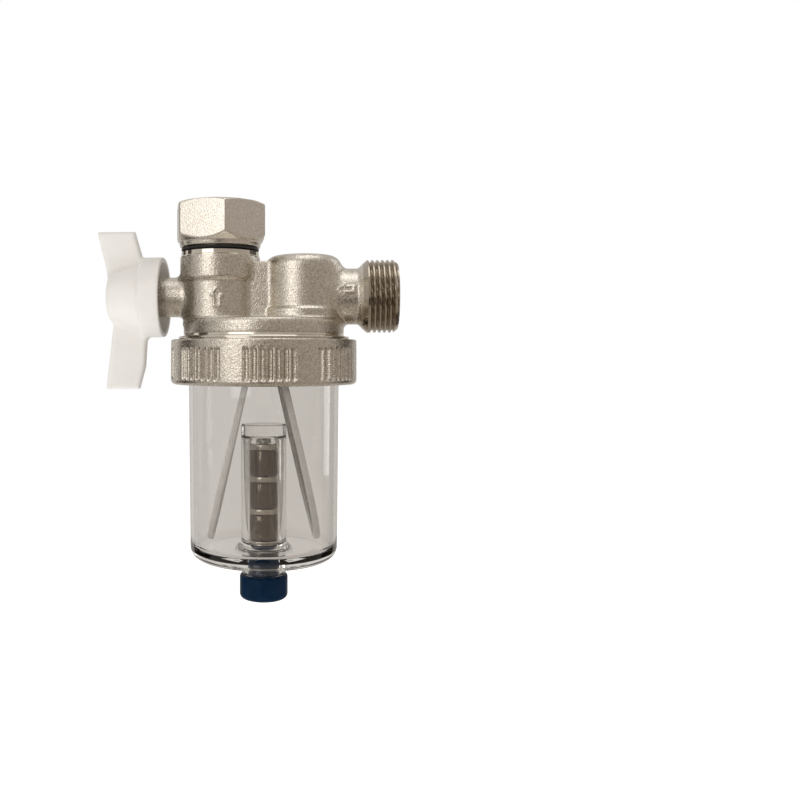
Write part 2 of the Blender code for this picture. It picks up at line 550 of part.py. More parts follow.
# ---------------------------------------------------------------- ring nut
def ring_nut():
    """Clamp ring with groups of finger grooves round it."""
    high, low = RING_NUT_TOP_Z, RING_NUT_BOTTOM_Z
    edge = RING_NUT_ROUND
    outline = [(RING_NUT_BORE_R, high), (RING_NUT_R - EDGE, high), (RING_NUT_R, high - EDGE),
               (RING_NUT_R, low + edge), (RING_NUT_R - 0.3 * edge, low + 0.3 * edge),
               (RING_NUT_R - edge, low), (RING_NUT_MOUTH_R, low), (RING_NUT_MOUTH_R, RING_SHOULDER_Z),
               (RING_NUT_BORE_R, RING_SHOULDER_Z)]
    ring = turned("ring_nut", outline, FILTER_AXIS, steps=80)
    grooves = bmesh.new()
    for group in range(GROOVE_GROUPS):
        for groove in range(GROOVES):
            in_group = (groove - (GROOVES - 1) / 2) * GROOVE_PITCH
            turn = RING_NUT_TURN + group * 2 * pi / GROOVE_GROUPS + in_group
            place = Matrix.Translation((FILTER_X + RING_NUT_R * cos(turn), RING_NUT_R * sin(turn),
                                        (high - GROOVE_TOP + low + GROOVE_BOTTOM) / 2))
            bmesh.ops.create_cone(grooves, segments=6, radius1=GROOVE_R, radius2=GROOVE_R, cap_ends=True,
                                  depth=high - GROOVE_TOP - low - GROOVE_BOTTOM,
                                  matrix=place @ Matrix.Rotation(turn, 4, "Z"))
    return nickel(cut(ring, finish("grooves", grooves)))


# ---------------------------------------------------------------- bowl
def bowl():
    """Clear bowl with a flange, a blind pocket for the magnets and a neck for the cap."""
    inner_top = BOWL_R - BOWL_WALL
    inner_low = BOWL_BOTTOM_R - BOWL_WALL
    outline = [(inner_top, BOWL_TOP_Z), (SKIRT_R, BOWL_TOP_Z), (SKIRT_R, FLANGE_UNDER_Z),
               (BOWL_R, FLANGE_UNDER_Z), (BOWL_BOTTOM_R, BOWL_BOTTOM_Z + BOWL_ROUND)]
    for step in range(1, 5):
        turn = step * pi / 8
        outline.append((BOWL_BOTTOM_R - BOWL_ROUND * (1 - cos(turn)),
                        BOWL_BOTTOM_Z + BOWL_ROUND * (1 - sin(turn))))
    outline += [(BOWL_NECK_R, BOWL_BOTTOM_Z), (BOWL_NECK_R, BOWL_NECK_Z), (POCKET_BORE_R, BOWL_NECK_Z),
                (POCKET_BORE_R, POCKET_CEILING_Z), (0, POCKET_CEILING_Z), (0, POCKET_TOP_Z),
                (POCKET_R - EDGE, POCKET_TOP_Z), (POCKET_R, POCKET_TOP_Z - EDGE),
                (POCKET_R, BOWL_FLOOR_Z + 6 * EDGE), (POCKET_R + 2 * EDGE, BOWL_FLOOR_Z + 2 * EDGE),
                (POCKET_FOOT_R, BOWL_FLOOR_Z), (inner_low - 3 * EDGE, BOWL_FLOOR_Z),
                (inner_low - EDGE, BOWL_FLOOR_Z + EDGE), (inner_low, BOWL_FLOOR_Z + 3 * EDGE)]
    return paint(turned("bowl", outline, FILTER_AXIS), (0.9, 0.9, 0.88), 0.05, alpha=0.3)


# ---------------------------------------------------------------- strainer
def screen_outline(inset):
    """Half outline of a screen as (distance down the screen, half width) points."""
    slope = cos(SCREEN_LEAN)
    straight = (RIDGE_Z - SCREEN_STRAIGHT_Z) / slope
    length = (RIDGE_Z - SCREEN_END_Z) / slope
    half = SCREEN_HALF - inset
    points = [(inset, half)]
    steps = 12
    for step in range(steps):
        turn = step * pi / 2 / steps
        points.append((straight + (length - straight - inset) * sin(turn), half * cos(turn)))
    points.append((length - inset, 0))
    return points


def screen_plate(name, side, inset, thick):
    """Flat plate in the plane of one screen; side is -1 for the left and 1 for the right."""
    half = screen_outline(inset)
    edge = half + [(down, -width) for down, width in reversed(half[:-1])]
    bm = bmesh.new()
    face = bm.faces.new([bm.verts.new((-thick / 2, width, -down)) for down, width in edge])
    grown = bmesh.ops.extrude_face_region(bm, geom=[face])
    moved = [v for v in grown["geom"] if isinstance(v, bmesh.types.BMVert)]
    bmesh.ops.translate(bm, vec=(thick, 0, 0), verts=moved)
    place = (Matrix.Translation((FILTER_X, 0, 0)) @ Matrix.Rotation(STRAINER_TURN, 4, "Z")
             @ Matrix.Translation((side * RIDGE_HALF, 0, RIDGE_Z))
             @ Matrix.Rotation(-side * SCREEN_LEAN, 4, "Y"))
    bmesh.ops.transform(bm, matrix=place, verts=bm.verts)
    return finish(name, bm)


def strainer_frame():
    """Two leaning frames under one ridge, inside the ring that the bowl's rim holds."""
    ring_r = CARRIER_SEAT_R - GAP
    ring_inner = ring_r - CARRIER_WALL
    frame = pipe("strainer_frame", ring_inner, ring_r, SKIRT_BOTTOM_Z, CARRIER_SEAT_Z - GAP, FILTER_AXIS)
    ridge_x, ridge_y, ridge_top = RIDGE_HALF + EDGE, SCREEN_HALF - 2 * EDGE, RIDGE_Z - EDGE
    ridge = block("ridge", (-ridge_x, -ridge_y, ridge_top - FRAME_THICK), (ridge_x, ridge_y, ridge_top))
    turn = Matrix.Translation((FILTER_X, 0, 0)) @ Matrix.Rotation(STRAINER_TURN, 4, "Z")
    ridge.data.transform(turn)
    join(frame, screen_plate("left", -1, 0, FRAME_THICK), screen_plate("right", 1, 0, FRAME_THICK), ridge)
    tab_low, tab_high = SKIRT_BOTTOM_Z + GAP, CARRIER_SEAT_Z - 2 * GAP
    lean = RIDGE_HALF + (RIDGE_Z - (tab_low + tab_high) / 2) * tan(SCREEN_LEAN)
    for side in (-1, 1):
        for end in (-1, 1):
            near, far = sorted((end * ridge_y, end * (ring_inner + BURY)))
            tab = block("tab", (side * lean - TAB_HALF, near, tab_low),
                        (side * lean + TAB_HALF, far, tab_high))
            tab.data.transform(turn)
            join(frame, tab)
    cut(frame, screen_plate("left_window", -1, FRAME_BORDER, 3 * FRAME_THICK),
        screen_plate("right_window", 1, FRAME_BORDER, 3 * FRAME_THICK))
    return paint(frame, (0.8, 0.79, 0.76), 0.4)


def strainer_mesh(name, side):
    """Fine screen in the window of its frame."""
    return steel(screen_plate(name, side, FRAME_BORDER + GAP, MESH_THICK))


# ---------------------------------------------------------------- magnet cartridge
def magnet_stack():
    """Magnets with a pole plate above and below each of them."""
    hole = TIE_R + GAP
    for number in range(1, MAGNETS + 2):
        top = STACK_TOP_Z - (number - 1) * PLATE_STEP
        low = top - PLATE_THICK
        steel(pipe("pole_plate_%d" % number, hole, PLATE_R, low, top, FILTER_AXIS, steps=24))
    for number in range(1, MAGNETS + 1):
        top = STACK_TOP_Z - (number - 1) * PLATE_STEP - PLATE_THICK - GAP
        low = top - MAGNET_LENGTH
        steel(pipe("magnet_%d" % number, hole, MAGNET_R, low, top, FILTER_AXIS, steps=24))


def cartridge_screw():
    """Hexagon screw through the stack into the cap's shank."""
    head_bottom = TIE_TOP_Z - TIE_HEAD
    screw = hexagon("cartridge_screw", TIE_HEAD_FLATS, head_bottom, TIE_TOP_Z, FILTER_AXIS)
    rod = disc("rod", TIE_R, SHANK_TOP_Z - TIE_THREAD, head_bottom + BURY, FILTER_AXIS, steps=20)
    return steel(join(screw, rod))


def cartridge_cap():
    """Blue cap with a shank that carries the magnets."""
    low = CAP_TOP_Z - CAP_HEIGHT
    ring_z = (SHANK_TOP_Z + CAP_TOP_Z) / 2 - CAP_O_RING_DROP
    groove = CAP_O_RING_R + GAP
    groove_r = SHANK_R - 2 * CAP_O_RING_R - GAP
    hole_z = SHANK_TOP_Z - TIE_THREAD - GAP
    outline = [(SHANK_R - EDGE, SHANK_TOP_Z), (SHANK_R, SHANK_TOP_Z - EDGE),
               (SHANK_R, ring_z + groove), (groove_r, ring_z + groove), (groove_r, ring_z - groove),
               (SHANK_R, ring_z - groove), (SHANK_R, CAP_TOP_Z), (CAP_R - EDGE, CAP_TOP_Z),
               (CAP_R, CAP_TOP_Z - EDGE), (CAP_R, low + CAP_ROUND)]
    for step in range(1, 4):
        turn = step * pi / 6
        outline.append((CAP_R - CAP_ROUND * (1 - cos(turn)), low + CAP_ROUND * (1 - sin(turn))))
    outline += [(0, low), (0, hole_z), (TIE_R + GAP, hole_z), (TIE_R + GAP, SHANK_TOP_Z)]
    cap = turned("cartridge_cap", outline, FILTER_AXIS, steps=32)
    rubber(o_ring("cap_o_ring", groove_r + GAP + CAP_O_RING_R, CAP_O_RING_R, ring_z, FILTER_AXIS))
    return paint(cap, (0.01, 0.04, 0.12), 0.4)


def build():
    clear_scene()
    filter_head()
    union_spigot()
    union_nut()
    rubber(pipe("nut_retaining_ring", NUT_BORE_R, RING_R, RING_TOP_Z - RING_THICK, RING_TOP_Z))
    rubber(pipe("union_gasket", TAIL_BORE_R + GASKET_INSET, FLANGE_R, -GASKET_THICK, 0, steps=32))
    ball()
    ball_seat("ball_seat_upper", 1)
    ball_seat("ball_seat_lower", -1)
    valve_stem()
    ring_r = STEM_R + GAP + STEM_O_RING_R
    for number in (1, 2):
        ring_x = PACKING_START_X - GAP - (2 * number - 1) * (STEM_O_RING_R + GAP / 4)
        rubber(o_ring("stem_o_ring_%d" % number, ring_r, STEM_O_RING_R, ring_x, along="X"))
    gland_nut()
    handle()
    handle_screw()
    ring_nut()
    bowl()
    rubber(o_ring("bowl_seal", SEAL_MIDDLE_R, SEAL_R, SKIRT_BOTTOM_Z + SEAL_R, FILTER_AXIS, steps=32))
    white_plastic(pipe("slip_ring", BOWL_R + GAP, SKIRT_R, SLIP_TOP_Z - SLIP_THICK, SLIP_TOP_Z, FILTER_AXIS))
    strainer_frame()
    strainer_mesh("strainer_mesh_left", -1)
    strainer_mesh("strainer_mesh_right", 1)
    magnet_stack()
    cartridge_screw()
    cartridge_cap()


build()
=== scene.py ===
# %% [markdown]
# # A magnetic system filter, piece by piece
# The filter hangs under a boiler. A nickel-plated brass head carries a ball valve, a union nut
# and a threaded port. Below it a clear bowl holds two mesh screens and a stack of magnets.
# The frame of solids is loaded first, and every finer piece is placed from the boxes it gives.

# %% Load the frame
import bmesh
import bpy
import numpy as np
from math import atan, cos, hypot, pi, radians, sin, sqrt, tan
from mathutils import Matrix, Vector


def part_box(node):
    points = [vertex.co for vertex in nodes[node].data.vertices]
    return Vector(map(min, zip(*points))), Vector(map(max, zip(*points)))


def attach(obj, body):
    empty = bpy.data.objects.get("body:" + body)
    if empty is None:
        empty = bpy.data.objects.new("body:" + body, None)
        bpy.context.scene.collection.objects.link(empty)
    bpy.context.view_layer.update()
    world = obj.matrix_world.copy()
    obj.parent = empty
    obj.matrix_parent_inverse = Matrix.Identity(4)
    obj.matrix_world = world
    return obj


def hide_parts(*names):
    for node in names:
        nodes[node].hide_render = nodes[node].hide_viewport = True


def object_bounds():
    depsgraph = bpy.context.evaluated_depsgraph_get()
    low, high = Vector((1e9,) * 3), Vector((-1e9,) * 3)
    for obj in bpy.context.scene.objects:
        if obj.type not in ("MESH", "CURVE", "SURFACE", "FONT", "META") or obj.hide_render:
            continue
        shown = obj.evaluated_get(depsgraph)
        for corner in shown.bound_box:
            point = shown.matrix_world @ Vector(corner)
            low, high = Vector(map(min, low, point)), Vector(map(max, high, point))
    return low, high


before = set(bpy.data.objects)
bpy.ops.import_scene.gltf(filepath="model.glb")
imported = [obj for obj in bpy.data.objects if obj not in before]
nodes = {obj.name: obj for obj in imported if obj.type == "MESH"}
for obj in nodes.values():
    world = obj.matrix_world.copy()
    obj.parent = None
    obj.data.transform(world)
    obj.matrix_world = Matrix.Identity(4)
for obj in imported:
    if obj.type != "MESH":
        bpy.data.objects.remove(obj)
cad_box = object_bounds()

MM = 0.001

# %% [markdown]
# ## Where things are
# Two upright axes rule the whole object: the ball valve's axis, and the filter's axis through
# bowl and ring nut. One level axis carries the handle and the port. They are read from the
# frame's boxes, so nothing here has to be fitted by eye.

# %% Axes and heights
def middle(node):
    low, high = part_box(node)
    return (Vector(low) + Vector(high)) / 2


def top(node):
    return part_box(node)[1][2]


def bottom(node):
    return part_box(node)[0][2]


FILTER_X = middle("ring_nut").x
CROSS_Z = middle("stem_o_ring_1").z
NUT_TOP, NUT_BOTTOM = top("union_nut"), bottom("union_nut")
BARREL_TOP = bottom("nut_retaining_ring") - 0.3 * MM
SKIRT_BOTTOM = bottom("filter_head")
PORT_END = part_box("filter_head")[1][0]
print("filter axis at x = %.1f mm, cross axis at z = %.1f mm" % (FILTER_X / MM, CROSS_Z / MM))

# %% [markdown]
# ## The camera
# A product picture of a small part is taken from near by, with the lens level with the ring nut.
# The camera stands a little to the port's side. A lens shift frames the object, because tilting
# the camera would make the upright edges lean.

# %% Camera
CAMERA_DISTANCE = 0.310
CAMERA_TURN = radians(3.8)
FOCAL_LENGTH = 37.9
SHIFT_SIDE, SHIFT_UP = 0.1703, -0.054
EYE_LEVEL = top("ring_nut") - 6.2 * MM

camera_data = bpy.data.cameras.new("camera")
camera_data.lens = FOCAL_LENGTH
camera_data.shift_x = SHIFT_SIDE
camera_data.shift_y = SHIFT_UP
camera = bpy.data.objects.new("camera", camera_data)
bpy.context.collection.objects.link(camera)
camera.location = (FILTER_X + CAMERA_DISTANCE * sin(CAMERA_TURN), -CAMERA_DISTANCE * cos(CAMERA_TURN),
                   EYE_LEVEL)
camera.rotation_euler = (pi / 2, 0, CAMERA_TURN)
bpy.context.scene.camera = camera
print("camera at", [round(c, 3) for c in camera.location])

# %% [markdown]
# ## Floor and light
# The filter hangs, so the pale floor lies well below it. Metal shows what stands around it, so
# the room matters as much as the lamps: the sky is brighter on the left and above than on the
# right, the soft boxes give the bright bands on the nickel, and dark cards that the camera
# cannot see give the brown edges and the dark lines. The camera itself sees a white backdrop,
# which is picked by the kind of ray. Mirrored and bent rays skip the floor, so that its glow
# does not whiten the nickel and the bowl from below.

# %% Floor
FLOOR_Z = cad_box[0][2] - 0.17
FLOOR_HALF = 6.0


def surface(name, points, faces):
    mesh = bpy.data.meshes.new(name)
    mesh.from_pydata(points, [], faces)
    thing = bpy.data.objects.new(name, mesh)
    bpy.context.collection.objects.link(thing)
    return thing


def plain(name, colour, rough, glow=0.0):
    material = bpy.data.materials.new(name)
    material.use_nodes = True
    shader = material.node_tree.nodes["Principled BSDF"]
    shader.inputs["Base Color"].default_value = (*colour, 1)
    shader.inputs["Roughness"].default_value = rough
    shader.inputs["Emission Color"].default_value = (1, 1, 1, 1)
    shader.inputs["Emission Strength"].default_value = glow
    return material


floor = surface("floor", [(-FLOOR_HALF, -FLOOR_HALF, FLOOR_Z), (FLOOR_HALF, -FLOOR_HALF, FLOOR_Z),
                          (FLOOR_HALF, FLOOR_HALF, FLOOR_Z), (-FLOOR_HALF, FLOOR_HALF, FLOOR_Z)],
                          [(0, 1, 2, 3)])
floor.data.materials.append(plain("pale_floor", (0.92, 0.92, 0.92), 0.8, glow=0.62))
floor.visible_transmission = False
floor.visible_glossy = False
print("floor at z = %.3f m" % FLOOR_Z)

# %% Sky
SKY_DARK = (0.24, 0.18, 0.125, 1)
SKY_BRIGHT = (0.80, 0.785, 0.765, 1)
SKY_SLOPE = (-0.15, 0.17, 0.14)

world = bpy.data.worlds.new("world")
world.use_nodes = True
sky = world.node_tree
direction = sky.nodes.new("ShaderNodeTexCoord").outputs["Generated"]
slope = sky.nodes.new("ShaderNodeVectorMath")
slope.operation = "DOT_PRODUCT"
slope.inputs[1].default_value = SKY_SLOPE
level = sky.nodes.new("ShaderNodeMath")
level.operation = "ADD"
level.inputs[1].default_value = 0.5
shade = sky.nodes.new("ShaderNodeValToRGB")
shade.color_ramp.elements[0].color = SKY_DARK
shade.color_ramp.elements[1].color = SKY_BRIGHT
around_it = sky.nodes["Background"]
backdrop = sky.nodes.new("ShaderNodeBackground")
backdrop.inputs["Color"].default_value = (1, 1, 1, 1)
seen = sky.nodes.new("ShaderNodeLightPath")
pick = sky.nodes.new("ShaderNodeMixShader")
sky.links.new(direction, slope.inputs[0])
sky.links.new(slope.outputs["Value"], level.inputs[0])
sky.links.new(level.outputs["Value"], shade.inputs["Fac"])
sky.links.new(shade.outputs["Color"], around_it.inputs["Color"])
sky.links.new(seen.outputs["Is Camera Ray"], pick.inputs["Fac"])
sky.links.new(around_it.outputs["Background"], pick.inputs[1])
sky.links.new(backdrop.outputs["Background"], pick.inputs[2])
sky.links.new(pick.outputs["Shader"], sky.nodes["World Output"].inputs["Surface"])
bpy.context.scene.world = world
bpy.context.scene.view_settings.view_transform = "Standard"
print("sky brightens towards", tuple(SKY_SLOPE))

# %% Lamps and dark cards
AIM = Vector((FILTER_X, 0, -0.05))
CARD_BROWN, CARD_ROUGH = (0.05, 0.04, 0.03), 0.9


def soft_box(name, place, size, power, colour=(1, 1, 1)):
    light = bpy.data.lights.new(name, "AREA")
    light.shape = "RECTANGLE"
    light.size, light.size_y = size
    light.energy = power
    light.color = colour
    lamp = bpy.data.objects.new(name, light)
    bpy.context.collection.objects.link(lamp)
    lamp.location = AIM + Vector(place)
    lamp.rotation_euler = (-Vector(place)).to_track_quat("-Z", "Y").to_euler()
    return lamp


def dark_card(name, place, width, height):
    card = surface(name, [(-width / 2, -height / 2, 0), (width / 2, -height / 2, 0),
                          (width / 2, height / 2, 0), (-width / 2, height / 2, 0)], [(0, 1, 2, 3)])
    card.location = AIM + Vector(place)
    card.rotation_euler = (-Vector(place)).to_track_quat("-Z", "Y").to_euler()
    card.data.materials.append(plain(name, CARD_BROWN, CARD_ROUGH))
    card.visible_camera = False
    card.visible_shadow = False
    card.visible_diffuse = False
    card.visible_transmission = False
    return card


soft_box("key_light", (-0.45, -0.75, 0.3), (0.55, 0.8), 1.7, (1.0, 0.985, 0.96))
soft_box("top_light", (0.1, -0.1, 0.9), (0.7, 0.5), 1.2)
soft_box("rim_light", (0.8, 0.5, 0.2), (0.3, 0.8), 1.0)
dark_card("card_left", (-0.85, 0.3, 0.0), 0.8, 1.0)
dark_card("card_right", (0.8, 0.5, 0.0), 0.6, 1.0)
dark_card("card_front", (0.03, -0.8, -0.26), 0.3, 0.38)
print("three soft boxes and three dark cards")

# %% [markdown]
# ## Turned pieces
# Nuts, rings, magnets and the bowl come off a lathe or out of a round mould. An outline of
# (radius, height) points is swept round an axis. A Screw modifier would do it too, but sweeping
# by hand lets the radius change with the angle, which threads and knurls need.

# %% Turning
WELD = 1e-7


def weld(mesh):
    """Close a mesh where an outline touches its axis, and drop faces with no area."""
    bm = bmesh.new()
    bm.from_mesh(mesh)
    bmesh.ops.remove_doubles(bm, verts=bm.verts, dist=WELD)
    bmesh.ops.dissolve_degenerate(bm, edges=bm.edges, dist=WELD)
    bm.to_mesh(mesh)
    bm.free()


def make_piece(name, points, quads, body, node=None, sharp=30):
    """Build a mesh from arrays, shade it, and hang it on its body."""
    mesh = bpy.data.meshes.new(name)
    mesh.vertices.add(len(points))
    mesh.vertices.foreach_set("co", np.asarray(points, dtype=np.float32).ravel())
    mesh.loops.add(len(quads) * 4)
    mesh.loops.foreach_set("vertex_index", np.asarray(quads, dtype=np.int32).ravel())
    mesh.polygons.add(len(quads))
    mesh.polygons.foreach_set("loop_start", np.arange(0, len(quads) * 4, 4, dtype=np.int32))
    mesh.update(calc_edges=True)
    weld(mesh)
    mesh.shade_smooth()
    mesh.set_sharp_from_angle(angle=radians(sharp))
    piece = bpy.data.objects.new(name, mesh)
    bpy.context.collection.objects.link(piece)
    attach(piece, body)
    if node:
        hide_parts(node)
    return piece


def arc(centre_r, centre_z, radius, start, stop, steps=6):
    """Points of a round edge in an outline, angles in degrees from the outward direction."""
    angles = np.radians(np.linspace(start, stop, steps + 1))
    return [(centre_r + radius * cos(a), centre_z + radius * sin(a)) for a in angles]


def densify(outline, step):
    """Put extra points on the long runs of a closed outline."""
    points = []
    for (r0, z0), (r1, z1) in zip(outline, outline[1:] + outline[:1]):
        count = max(1, int(hypot(r1 - r0, z1 - z0) / step))
        points += [(r0 + (r1 - r0) * i / count, z0 + (z1 - z0) * i / count) for i in range(count)]
    return points


def turned(name, outline, axis, body, node=None, around=160, shape=None, sharp=30):
    """Sweep a closed outline, given anticlockwise in (radius, height), round an axis."""
    profile = np.array(outline)
    angles = np.linspace(0, 2 * pi, around, endpoint=False)
    radius = np.repeat(profile[:, :1], around, axis=1)
    height = np.repeat(profile[:, 1:], around, axis=1)
    if shape:
        radius = shape(radius, height, angles[None, :])
    across, up = radius * np.cos(angles), radius * np.sin(angles)
    if axis == "cross":
        points = np.stack([height, -up, across + CROSS_Z], axis=-1)
    else:
        points = np.stack([across + (FILTER_X if axis == "filter" else 0), up, height], axis=-1)
    rows, columns = len(profile), around
    i = np.arange(rows)[:, None]
    j = np.arange(columns)[None, :]
    i2, j2 = (i + 1) % rows, (j + 1) % columns
    quads = np.stack([i * columns + j, i * columns + j2, i2 * columns + j2, i2 * columns + j],
                     axis=-1).reshape(-1, 4)
    if axis == "cross":
        quads = quads[:, ::-1]
    return make_piece(name, points.reshape(-1, 3), quads, body, node, sharp)


print("turning is ready")

# %% [markdown]
# ## Cast and moulded pieces
# A casting has no sharp inner corners: every boss flows into the next with a fillet. Booleans
# and bevels make that hard. Here a piece is a field of distances instead: negative inside the
# metal and positive outside. Two fields are blended with a round fillet of a known radius, and
# the skin is then laid where the field is zero. A cut that runs right through ends at FAR, which
# is well past every piece.

# %% Fields of distance
FAR = 0.1


def grid(low, high, step):
    """Three arrays of coordinates that cover a box."""
    axes = [np.arange(low[i] - 2 * step, high[i] + 3 * step, step, dtype=np.float32) for i in range(3)]
    return axes[0][:, None, None], axes[1][None, :, None], axes[2][None, None, :]


def turned_field(radius, along, outline):
    """Distance to a turned shape, from its closed outline of (radius, along) points."""
    radius, along = np.broadcast_arrays(radius, along)
    nearest = np.full(radius.shape, 1.0, dtype=np.float32)
    inside = np.zeros(radius.shape, dtype=bool)
    for (r0, z0), (r1, z1) in zip(outline, outline[1:] + outline[:1]):
        run, rise = r1 - r0, z1 - z0
        if max(r0, r1) > 0:
            part = np.clip(((radius - r0) * run + (along - z0) * rise) / (run ** 2 + rise ** 2), 0, 1)
            nearest = np.minimum(nearest, np.hypot(radius - r0 - part * run, along - z0 - part * rise))
        if rise != 0:
            crossed = (along >= min(z0, z1)) & (along < max(z0, z1))
            inside ^= crossed & (radius < r0 + (along - z0) * run / rise)
    return np.where(inside, -nearest, nearest)


def box_field(x, y, z, low, high, edge=0.0):
    """Distance to a box with rounded edges."""
    away = []
    for value, a, b in zip((x, y, z), low, high):
        away.append(np.abs(value - (a + b) / 2) - (b - a) / 2 + edge)
    outside = np.sqrt(sum(np.maximum(d, 0) ** 2 for d in away))
    return outside + np.minimum(np.maximum(np.maximum(away[0], away[1]), away[2]), 0) - edge


def blend(one, other, fillet):
    """Join two fields with a round fillet."""
    a, b = np.maximum(fillet - one, 0), np.maximum(fillet - other, 0)
    return np.maximum(fillet, np.minimum(one, other)) - np.hypot(a, b)


def carve(solid, tool, round_edge=0.0):
    """Take a tool out of a solid, with a softened rim."""
    if round_edge == 0.0:
        return np.maximum(solid, -tool)
    return -blend(-solid, tool, round_edge)


def soften(field):
    """Average each sample with its neighbours, which breaks the sharp edges."""
    for direction in range(3):
        field = (np.roll(field, 1, direction) + 2 * field + np.roll(field, -1, direction)) / 4
    return field


print("fields are ready")

# %% Laying the skin on a field
def skin(field, axes):
    """Surface nets: one point in each cell that the surface crosses, one quad for each crossed edge."""
    inside = field < 0
    corners = [(a, b, c) for a in (0, 1) for b in (0, 1) for c in (0, 1)]
    cells = tuple(n - 1 for n in field.shape)
    count = sum(inside[a:a + cells[0], b:b + cells[1], c:c + cells[2]].astype(np.int8) for a, b, c in corners)
    active = np.argwhere((count > 0) & (count < 8))
    number = np.full(cells, -1, dtype=np.int64)
    number[tuple(active.T)] = np.arange(len(active))
    total, hits = np.zeros((len(active), 3)), np.zeros((len(active), 1))
    for start in corners:
        for direction in range(3):
            if start[direction] == 1:
                continue
            first = active + start
            second = first.copy()
            second[:, direction] += 1
            f0, f1 = field[tuple(first.T)], field[tuple(second.T)]
            crossed = (f0 < 0) != (f1 < 0)
            part = np.where(crossed, f0 / np.where(crossed, f0 - f1, 1), 0)
            place = np.array(start, dtype=float) + part[:, None] * np.eye(3)[direction]
            total += np.where(crossed[:, None], place, 0)
            hits += crossed[:, None]
    steps = np.array([axis.ravel()[1] - axis.ravel()[0] for axis in axes])
    origin = np.array([axis.ravel()[0] for axis in axes])
    points = (active + total / hits) * steps + origin
    quads = []
    for direction in range(3):
        u, v = (direction + 1) % 3, (direction + 2) % 3
        before = [slice(1, -1)] * 3
        after = list(before)
        before[direction], after[direction] = slice(0, -1), slice(1, None)
        a, b = inside[tuple(before)], inside[tuple(after)]
        for going_out in (True, False):
            edges = np.argwhere(a & ~b if going_out else ~a & b)
            edges[:, u] += 1
            edges[:, v] += 1
            ring = []
            for du, dv in ((-1, -1), (0, -1), (0, 0), (-1, 0)):
                cell = edges.copy()
                cell[:, u] += du
                cell[:, v] += dv
                ring.append(number[tuple(cell.T)])
            quads.append(np.stack(ring if going_out else ring[::-1], axis=-1))
    return points, np.concatenate(quads)


def cast(name, field, axes, body, node=None, sharp=50):
    points, quads = skin(field, axes)
    print(name, "has", len(quads), "faces")
    return make_piece(name, points, quads, body, node, sharp)


# %% [markdown]
# ## Finishes
# Each finish is a small recipe of noise for the grain, the bump and the wear. Blasted nickel is
# speckled at about half a millimetre, turned nickel has fine rings, and the plastics have a
# faint ripple from the mould. The magnets' plating is much darker here than real nickel: its dark
# base colour is painted shade and painted dark reflection, so that the stack reads dark through the clear
# bowl.

# %% Material helpers
class Finish:
    """A Principled material with a few shortcuts for its noise nodes."""

    def __init__(self, name, colour, rough, metallic=0.0):
        self.material = bpy.data.materials.new(name)
        self.material.use_nodes = True
        self.nodes = self.material.node_tree.nodes
        self.links = self.material.node_tree.links
        self.shader = self.nodes["Principled BSDF"]
        self.set("Base Color", (*colour, 1))
        self.set("Roughness", rough)
        self.set("Metallic", metallic)
        self.place = self.nodes.new("ShaderNodeTexCoord").outputs["Object"]

    def set(self, socket, value):
        self.shader.inputs[socket].default_value = value

    def noise(self, size, detail=4.0, stretch=(1, 1, 1)):
        """Noise whose features are about `size` across."""
        mapping = self.nodes.new("ShaderNodeMapping")
        mapping.inputs["Scale"].default_value = stretch
        self.links.new(self.place, mapping.inputs["Vector"])
        noise = self.nodes.new("ShaderNodeTexNoise")
        noise.inputs["Scale"].default_value = 1 / size
        noise.inputs["Detail"].default_value = detail
        self.links.new(mapping.outputs["Vector"], noise.inputs["Vector"])
        return noise.outputs["Fac"]

    def between(self, factor, low, high, start=0.3, stop=0.7):
        """Map a noise to a range of numbers."""
        spread = self.nodes.new("ShaderNodeMapRange")
        spread.inputs["From Min"].default_value = start
        spread.inputs["From Max"].default_value = stop
        spread.inputs["To Min"].default_value = low
        spread.inputs["To Max"].default_value = high
        self.links.new(factor, spread.inputs["Value"])
        return spread.outputs["Result"]

    def colours(self, factor, dark, light, start=0.3, stop=0.7):
        """Map a noise to a range of colours on the base colour."""
        ramp = self.nodes.new("ShaderNodeValToRGB")
        ramp.color_ramp.elements[0].position = start
        ramp.color_ramp.elements[0].color = (*dark, 1)
        ramp.color_ramp.elements[1].position = stop
        ramp.color_ramp.elements[1].color = (*light, 1)
        self.links.new(factor, ramp.inputs["Fac"])
        self.links.new(ramp.outputs["Color"], self.shader.inputs["Base Color"])

    def roughness(self, factor, low, high):
        self.links.new(self.between(factor, low, high), self.shader.inputs["Roughness"])

    def bump(self, factor, depth, strength=1.0):
        """Bump of a real depth; calls add up."""
        bump = self.nodes.new("ShaderNodeBump")
        bump.inputs["Distance"].default_value = depth
        bump.inputs["Strength"].default_value = strength
        self.links.new(factor, bump.inputs["Height"])
        if self.shader.inputs["Normal"].is_linked:
            self.links.new(self.shader.inputs["Normal"].links[0].from_socket, bump.inputs["Normal"])
        self.links.new(bump.outputs["Normal"], self.shader.inputs["Normal"])

    def on(self, *things):
        for thing in things:
            thing.data.materials.clear()
            thing.data.materials.append(self.material)
        return self


# %% Finishes of the metals
blasted_nickel = Finish("blasted_nickel", (0.8, 0.76, 0.69), 0.25, 1.0)
blasted_nickel.colours(blasted_nickel.noise(0.6 * MM, 4), (0.5, 0.45, 0.38), (0.86, 0.82, 0.75))
blasted_nickel.roughness(blasted_nickel.noise(0.8 * MM, 3), 0.18, 0.32)
blasted_nickel.bump(blasted_nickel.noise(0.45 * MM, 2), 0.11 * MM, 1.0)
blasted_nickel.bump(blasted_nickel.noise(6 * MM, 2), 0.08 * MM, 0.4)

satin_nickel = Finish("satin_nickel", (0.82, 0.78, 0.72), 0.24, 1.0)
satin_nickel.colours(satin_nickel.noise(0.5 * MM, 5), (0.64, 0.59, 0.52), (0.9, 0.87, 0.81))
satin_nickel.bump(satin_nickel.noise(0.45 * MM, 3), 0.09 * MM, 0.8)

